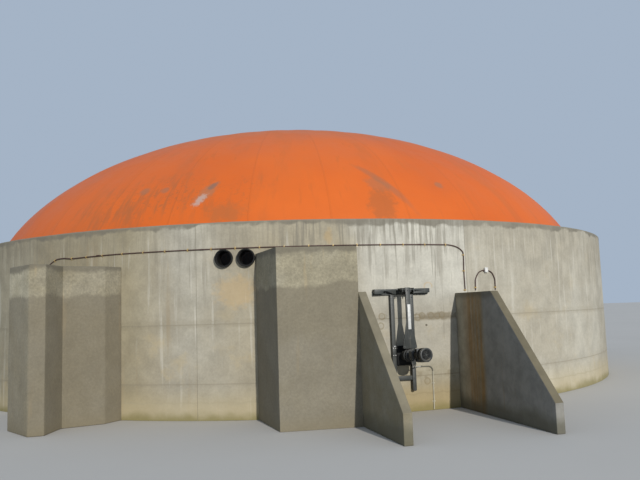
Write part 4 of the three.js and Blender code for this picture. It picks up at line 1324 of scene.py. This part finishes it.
def build_arm(side):
    """An open channel of two cheeks with a deck between them, a back plate and a pin."""
    low, high = extent(f"agitator_arm_{side}", AGITATOR)
    thick = 0.008
    arm = Piece(f"agitator_arm_{side}_section", paint("frame"), AGITATOR)
    cheek = [(-high.y, low.z), (-high.y, high.z), (-low.y, high.z), (-low.y, high.z - 0.085),
             (-low.y - 0.06, low.z)]
    cheeks = (low.x + 0.026, high.x - thick) if side == "left" else (low.x + 0.022, high.x)
    for x in cheeks:
        arm.add(side_plate(cheek, x, x + thick, 0.001))
        # Light strips on the cheeks' front ends: a painted highlight of their sunlit edges.
        nose = block((x, low.y - 0.0015, high.z - 0.083), (x + thick, low.y + 0.002, high.z), 0.0005, 1)
        arm.add(nose, plastic("arm_edges"))
    left, right = low.x + 0.004, high.x - 0.004
    arm.add(block((left, low.y, high.z - 0.044), (right, high.y, high.z - 0.034), 0.001))
    arm.add(block((left, high.y - thick, low.z), (right, high.y, high.z), 0.001))
    pin_y, pin_z = low.y + 0.12, low.z + 0.035
    arm.add(rod((low.x - 0.001, pin_y, pin_z), (high.x + 0.001, pin_y, pin_z), 0.012, 16), paint("drive"))
    arm.done("grey_paint", f"agitator_arm_{side}")


def build_housing():
    """A closed case with a bolted cover, in the shade paint: painted shade where the drive's shadow falls on
    it.
    """
    low, high = extent("agitator_bearing_housing", AGITATOR)
    house = Piece("agitator_bearing_case", paint("shade"), AGITATOR)
    house.add(block((low.x, low.y + 0.008, low.z), (high.x, -SEAT, high.z), 0.010, 3))
    rim = 0.012
    house.add(block((low.x + rim, low.y, low.z + rim), (high.x - rim, low.y + rim, high.z - rim), 0.004))
    for step in range(5):
        z = low.z + 0.035 + step * (high.z - low.z - 0.07) / 4
        cover_bolts = [(x, low.y, z) for x in (low.x + 0.03, high.x - 0.03)]
        house.add_bolts(cover_bolts, paint("shade"), across=0.018, head=0.011)
    house.done("dark_paint", "agitator_bearing_housing")


def build_agitator_frame():
    build_top_beam()
    build_left_upright()
    build_right_upright()
    build_cross_piece()
    build_foot_member()
    build_mast()
    build_arm("left")
    build_arm("right")
    build_housing()


# Agitator drive: everything is turned on one axis, and measured along it from the gearbox's back
def ring_of(count, radius, along, first=0.0):
    """Places around the drive's axis, each with its angle."""
    angles = [first + math.tau * index / count for index in range(count)]
    return [(Vector((radius * math.cos(angle), radius * math.sin(angle), along)), angle) for angle in angles]


def along_drive(node):
    """Where a node begins and ends along the drive."""
    low, high = extent(node, DRIVE)
    return -high.y, -low.y


def add_ribs(piece, count, radius, span, size):
    """Ribs that stand out around the drive's axis."""
    half = (span[1] - span[0]) / 2
    thick, tall = size
    for at, angle in ring_of(count, radius, (span[0] + span[1]) / 2):
        rib = block((-thick / 2, -tall / 2, -half), (thick / 2, tall / 2, half), thick * 0.3, 1)
        turn = Matrix.Rotation(angle + math.pi / 2, 4, "Z")
        piece.add(rib, place=DRIVE_AXIS @ Matrix.Translation(at) @ turn)


def add_flange_bolts(piece, ring, across, head, direction=(0, 0, 1)):
    places = [at for at, angle in ring]
    piece.add_bolts(places, piece.finish, direction, across=across, head=head, washer=False)


def build_gearbox():
    """A spigot from the housing, two bolted discs with ribs between them, and a barrel up to the neck."""
    gearbox = Piece("agitator_gearbox_case", paint("drive"), DRIVE_AXIS)
    spigot = [(0, -0.205), (0.095, -0.205), (0.095, -0.03), (0.100, -0.014)]
    first_disc = [(0.130, -0.010), (0.134, -0.006), (0.134, 0.008), (0.1315, 0.0105), (0.102, 0.0105)]
    waist = [(0.098, 0.014), (0.098, 0.058)]
    second_disc = [(0.118, 0.062), (0.1225, 0.065), (0.1225, 0.080), (0.120, 0.0825), (0.088, 0.0825)]
    front = [(0.084, 0.086), (0.084, 0.1695), (0, 0.1695)]
    gearbox.add(spun([*spigot, *first_disc, *waist, *second_disc, *front], 72))
    add_flange_bolts(gearbox, ring_of(10, 0.112, 0.0105, 0.2), 0.014, 0.008)
    add_flange_bolts(gearbox, ring_of(10, 0.104, 0.0825, 0.2), 0.012, 0.007)
    add_ribs(gearbox, 8, 0.102, (0.012, 0.063), (0.008, 0.022))
    gearbox.add(rod((0.04, 0.070, 0.12), (0.04, 0.094, 0.12), 0.011, 8))
    gearbox.done("dark_paint", "agitator_gearbox")


def build_neck():
    """A slim barrel with a flange at each end and a lifting eye, all in the shade paint: painted shade where
    the motor's shadow falls.
    """
    start, end = along_drive("agitator_neck")
    neck = Piece("agitator_neck_case", paint("shade"), DRIVE_AXIS)
    collar = [(0, start), (0.090, start), (0.092, start + 0.004), (0.092, start + 0.014),
              (0.078, start + 0.020)]
    barrel = [(0.075, start + 0.035), (0.075, end - 0.16), (0.084, end - 0.13), (0.102, end - 0.105)]
    flange = [(0.121, end - 0.090), (0.124, end - 0.086), (0.124, end - 0.002), (0.122, end), (0, end)]
    neck.add(spun([*collar, *barrel, *flange], 64))
    neck.add(block((-0.114, -0.130, end - 0.086), (0.114, 0.126, end - 0.008), 0.028, 3))
    add_flange_bolts(neck, ring_of(8, 0.112, end - 0.090, math.pi / 8), 0.014, 0.012, (0, 0, -1))
    eye_along = start + 0.06
    neck.add(rod((0, 0.070, eye_along), (0, 0.084, eye_along), 0.010, 12))
    eye_place = DRIVE_AXIS @ Matrix.Translation((0.0, 0.096, eye_along)) @ UP_TO_OUT @ UP_TO_OUT
    neck.add(bent_ring(0.014, 0.0, 0.004, 8, 20), place=eye_place)
    neck.done("dark_paint", "agitator_neck")


def build_motor():
    """A finned body between its end shields, with a square plate at its front and a rounded block below."""
    start, end = along_drive("agitator_motor")
    motor = Piece("agitator_motor_body", paint("drive"), DRIVE_AXIS)
    shield = [(0, start), (0.128, start), (0.130, start + 0.004), (0.130, start + 0.018),
              (0.126, start + 0.024)]
    barrel = [(0.110, start + 0.028), (0.110, end - 0.014), (0.126, end - 0.010), (0.126, end), (0, end)]
    motor.add(spun([*shield, *barrel], 64))
    add_ribs(motor, look("agitator_look").fins, 0.1225, (start + 0.020, end - 0.006), (0.0035, 0.027))
    add_flange_bolts(motor, ring_of(4, 0.119, start + 0.018, math.pi / 4), 0.016, 0.012)
    motor.add(block((-0.118, -0.137, start - 0.002), (0.118, 0.130, start + 0.020), 0.018, 3))
    motor.add(block((-0.112, -0.139, start + 0.016), (0.108, -0.048, end + 0.030), 0.040, 5))
    motor.done("dark_paint", "agitator_motor")


def build_fan_cowl():
    """The cowl's skirt, its inside in the shade paint as painted shade, and the guard of rings and spokes
    around a hub.
    """
    start, end = along_drive("agitator_fan_cowl")
    cowl = Piece("agitator_fan_cover", paint("drive"), DRIVE_AXIS)
    skirt = [(0.118, start), (0.134, start), (0.136, start + 0.003), (0.136, end - 0.007),
             (0.1345, end - 0.002)]
    rim = [(0.131, end), (0.110, end), (0.107, end - 0.003), (0.089, end - 0.030)]
    cowl.add(spun([*skirt, *rim], 72))
    inside = [(0.118, start + 0.001), (0.092, end - 0.036), (0.092, end - 0.029), (0.0, end - 0.029)]
    # The inside takes the shade paint: painted shade in the cowl's hollow.
    cowl.add(spun(inside, 48), paint("shade"))
    for radius in (0.070, 0.052, 0.034):
        cowl.add(bent_ring(radius, end - 0.022, 0.0024, 6, 40))
    lift = Vector((0, 0, end - 0.024))
    for reach, angle in ring_of(6, 1.0, 0.0, 0.2):
        cowl.add(rod(reach * 0.012 + lift, reach * 0.093 + lift, 0.0032, 6))
    cowl.add(rod((0, 0, end - 0.032), (0, 0, end - 0.016), 0.022, 20), paint("frame"))
    for at, angle in ring_of(4, 0.136, start + 0.014, math.pi / 4):
        direction = Vector((math.cos(angle), math.sin(angle), 0))
        cowl.add(rod(at - direction * 0.004, at + direction * 0.001, 0.006, 10), zinc())
    cowl.done("dark_paint", "agitator_fan_cowl")


def build_terminal_box():
    """A case beside the neck whose lid faces forwards; the lid's lighter tone is painted light, for sun that
    the motor's shadow keeps off it.
    """
    low, high = extent("agitator_terminal_box", DRIVE)
    left, right, front = low.x + 0.018, high.x - 0.002, low.y
    box = Piece("agitator_terminal_case", paint("drive"), DRIVE)
    box.add(block((low.x + 0.014, low.y + 0.006, low.z + 0.004), (high.x, high.y, high.z - 0.004), 0.008, 3))
    gland_y, gland_z = high.y - 0.04, low.z + 0.05
    box.add(rod((low.x, gland_y, gland_z), (low.x + 0.02, gland_y, gland_z), 0.014, 12))
    # The lid's lighter tone is painted light, for its half that lies in the motor's shadow.
    lid = block((left - 0.003, front, low.z), (right + 0.003, front + 0.014, high.z), 0.004, 2)
    box.add(lid, plastic("terminal_lid"))
    for x in (left + 0.010, right - 0.010):
        for z in (low.z + 0.012, high.z - 0.012):
            box.add(rod((x, front + 0.001, z), (x, front - 0.003, z), 0.005, 8), zinc())
    box.done("dark_paint", "agitator_terminal_box")


def build_agitator_drive():
    build_gearbox()
    build_neck()
    build_motor()
    build_fan_cowl()
    build_terminal_box()


def beside_agitator(stations, steps):
    """A route beside the agitator, with each depth taken from the round wall."""
    route = []
    for station in smooth_route(stations, steps):
        radius = TANK_RADIUS + station.y
        depth = TANK_RADIUS - math.sqrt(radius ** 2 - station.x ** 2)
        route.append(AGITATOR @ Vector((station.x, depth, station.z)))
    return route


def build_motor_conduit():
    """The flexible cable from the terminal box to the wall, and the rigid conduit from there to the foot."""
    conduit = Piece("motor_supply_conduit", plastic("flexible_conduit"))
    conduit.add(tube(beside_agitator(MOTOR_CABLE, 8), 0.010, 12))
    for name, stations in (("dirty_conduit", MOTOR_CONDUIT[:MOTOR_BEND + 1]),
                           ("cream_conduit", MOTOR_CONDUIT[MOTOR_BEND:])):
        conduit.add(tube(beside_agitator(stations, 8), CONDUIT_RADIUS, 16), plastic(name))
    for name, start, end in MOTOR_SLEEVES:
        start, end = beside_agitator((start, end), 1)
        conduit.add(rod(start, end, CONDUIT_RADIUS + 0.003, 16), plastic(name))
    start, end = beside_agitator(MOTOR_GLAND, 1)
    conduit.add(rod(start, end, 0.016, 12), paint("drive"))
    azimuth = AGITATOR_AZIMUTH + math.degrees(math.asin(MOTOR_CLIP_X / TANK_RADIUS))
    for height in MOTOR_CLIP_HEIGHTS:
        add_clip(conduit, azimuth, height, True, plastic("cream_conduit"), plastic("cream_conduit"))
    conduit.done("cream_plastic", "motor_conduit")


# Stage and camera
def build_floor():
    """A wide pale floor just below the part."""
    mat = Finish("stage_floor", look("stage_look").floor_tone[:], roughness=0.9, specular=0.2)
    mat.vary(mat.noise(mat.place, 0.15, 4.0), 0.3, 0.7, 0.98, 1.02)
    material = mat.finish()
    part = bmesh.new()
    bmesh.ops.create_circle(part, cap_ends=True, segments=96, radius=FLOOR_RADIUS)
    bmesh.ops.translate(part, vec=(0, 0, -FLOOR_DROP), verts=part.verts)
    mesh = mesh_of("studio_floor", part)
    mesh.materials.append(material)
    floor = linked("studio_floor", mesh)


def build_surround():
    world = bpy.data.worlds.new("studio_surround")
    world.use_nodes = True
    background = world.node_tree.nodes["Background"]
    background.inputs["Color"].default_value = (*look("stage_look").sky_tone[:], 1.0)
    background.inputs["Strength"].default_value = 1.0
    bpy.context.scene.world = world


def build_key_light():
    stage = look("stage_look")
    key = bpy.data.lights.new("studio_key", "SUN")
    key.energy = stage.key_power
    key.angle = math.radians(KEY_WIDTH)
    key.color = KEY_TONE
    flat = math.cos(stage.key_height)
    towards = Vector((math.sin(stage.key_azimuth) * flat, -math.cos(stage.key_azimuth) * flat,
                      math.sin(stage.key_height)))
    linked("studio_key", key).rotation_euler = towards.to_track_quat("Z", "Y").to_euler()


def build_camera():
    """The camera stands where the photograph was taken."""
    forward = Vector((math.sin(CAMERA_YAW) * math.cos(CAMERA_PITCH),
                      math.cos(CAMERA_YAW) * math.cos(CAMERA_PITCH), math.sin(CAMERA_PITCH)))
    level = Vector((math.cos(CAMERA_YAW), -math.sin(CAMERA_YAW), 0))
    upright = level.cross(forward)
    right = level * math.cos(CAMERA_ROLL) + upright * math.sin(CAMERA_ROLL)
    up = upright * math.cos(CAMERA_ROLL) - level * math.sin(CAMERA_ROLL)
    lens = bpy.data.cameras.new("photo_view")
    lens.sensor_width = SENSOR_WIDTH
    lens.lens = CAMERA_LENS
    lens.clip_end = 1000.0
    camera = linked("photo_view", lens)
    turned = Matrix((right, up, -forward)).transposed()
    camera.matrix_world = Matrix.Translation(CAMERA_PLACE) @ turned.to_4x4()
    bpy.context.scene.camera = camera
    bpy.context.scene.view_settings.view_transform = "Standard"


class DIGESTER_OT_camera(bpy.types.Operator):
    """Set the camera at the photograph's view"""
    bl_idname = "digester.camera"
    bl_label = "Camera"
    bl_options = {"REGISTER", "UNDO"}

    def execute(self, context):
        build_camera()
        return {"FINISHED"}


class DIGESTER_OT_wall(bpy.types.Operator):
    """Cast the tank wall in its poured sections, and give the slab its finish"""
    bl_idname = "digester.wall"
    bl_label = "Tank wall"
    bl_options = {"REGISTER", "UNDO"}

    def execute(self, context):
        build_wall()
        dress_slab()
        return {"FINISHED"}


class DIGESTER_OT_blocks(bpy.types.Operator):
    """Cast the blocks against the wall"""
    bl_idname = "digester.blocks"
    bl_label = "Blocks"
    bl_options = {"REGISTER", "UNDO"}

    def execute(self, context):
        build_blocks()
        return {"FINISHED"}


class DIGESTER_OT_wings(bpy.types.Operator):
    """Cast the bay's wing walls"""
    bl_idname = "digester.wings"
    bl_label = "Wing walls"
    bl_options = {"REGISTER", "UNDO"}

    def execute(self, context):
        build_wings()
        return {"FINISHED"}


class DIGESTER_OT_roof(bpy.types.Operator):
    """Stretch the gas membrane and clamp its edge"""
    bl_idname = "digester.roof"
    bl_label = "Roof"
    bl_options = {"REGISTER", "UNDO"}

    def execute(self, context):
        build_roof()
        build_rail()
        return {"FINISHED"}


class DIGESTER_OT_stubs(bpy.types.Operator):
    """Turn the two inlet stubs"""
    bl_idname = "digester.stubs"
    bl_label = "Inlet stubs"
    bl_options = {"REGISTER", "UNDO"}

    def execute(self, context):
        build_stubs()
        return {"FINISHED"}


class DIGESTER_OT_conduits(bpy.types.Operator):
    """Run the conduits over the wall, with their junction box"""
    bl_idname = "digester.conduits"
    bl_label = "Conduits"
    bl_options = {"REGISTER", "UNDO"}

    def execute(self, context):
        build_wall_conduit()
        build_loop_conduit()
        build_junction_box()
        return {"FINISHED"}


class DIGESTER_OT_agitator(bpy.types.Operator):
    """Put up the agitator's frame, mount its drive and run its conduit"""
    bl_idname = "digester.agitator"
    bl_label = "Agitator"
    bl_options = {"REGISTER", "UNDO"}

    def execute(self, context):
        build_agitator_frame()
        build_agitator_drive()
        build_motor_conduit()
        return {"FINISHED"}


class DIGESTER_OT_stage(bpy.types.Operator):
    """Lay the studio floor and set the light"""
    bl_idname = "digester.stage"
    bl_label = "Stage"
    bl_options = {"REGISTER", "UNDO"}

    def execute(self, context):
        build_floor()
        build_surround()
        build_key_light()
        return {"FINISHED"}


OPERATORS = (DIGESTER_OT_camera, DIGESTER_OT_wall, DIGESTER_OT_blocks, DIGESTER_OT_wings, DIGESTER_OT_roof,
             DIGESTER_OT_stubs, DIGESTER_OT_conduits, DIGESTER_OT_agitator, DIGESTER_OT_stage)
LOOKS = {"tank_look": TankLook, "roof_look": RoofLook, "block_look": BlockLook, "agitator_look": AgitatorLook,
         "stage_look": StageLook}


class DIGESTER_PT_panel(bpy.types.Panel):
    """The pieces of the digester, in building order"""
    bl_label = "Biogas digester"
    bl_space_type = "VIEW_3D"
    bl_region_type = "UI"
    bl_category = "Digester"

    def draw(self, context):
        for kind in OPERATORS:
            self.layout.operator(kind.bl_idname)
        for name, group in LOOKS.items():
            box = self.layout.box()
            for field in group.__annotations__:
                box.prop(getattr(context.scene, name), field)


def register():
    for kind in (*LOOKS.values(), *OPERATORS, DIGESTER_PT_panel):
        bpy.utils.register_class(kind)
    for name, group in LOOKS.items():
        setattr(bpy.types.Scene, name, PointerProperty(type=group))


def unregister():
    for name in LOOKS:
        delattr(bpy.types.Scene, name)
    for kind in (DIGESTER_PT_panel, *reversed(OPERATORS), *LOOKS.values()):
        bpy.utils.unregister_class(kind)


def main():
    register()
    for kind in OPERATORS:
        family, name = kind.bl_idname.split(".")
        getattr(getattr(bpy.ops, family), name)()


if __name__ == "__main__":
    main()
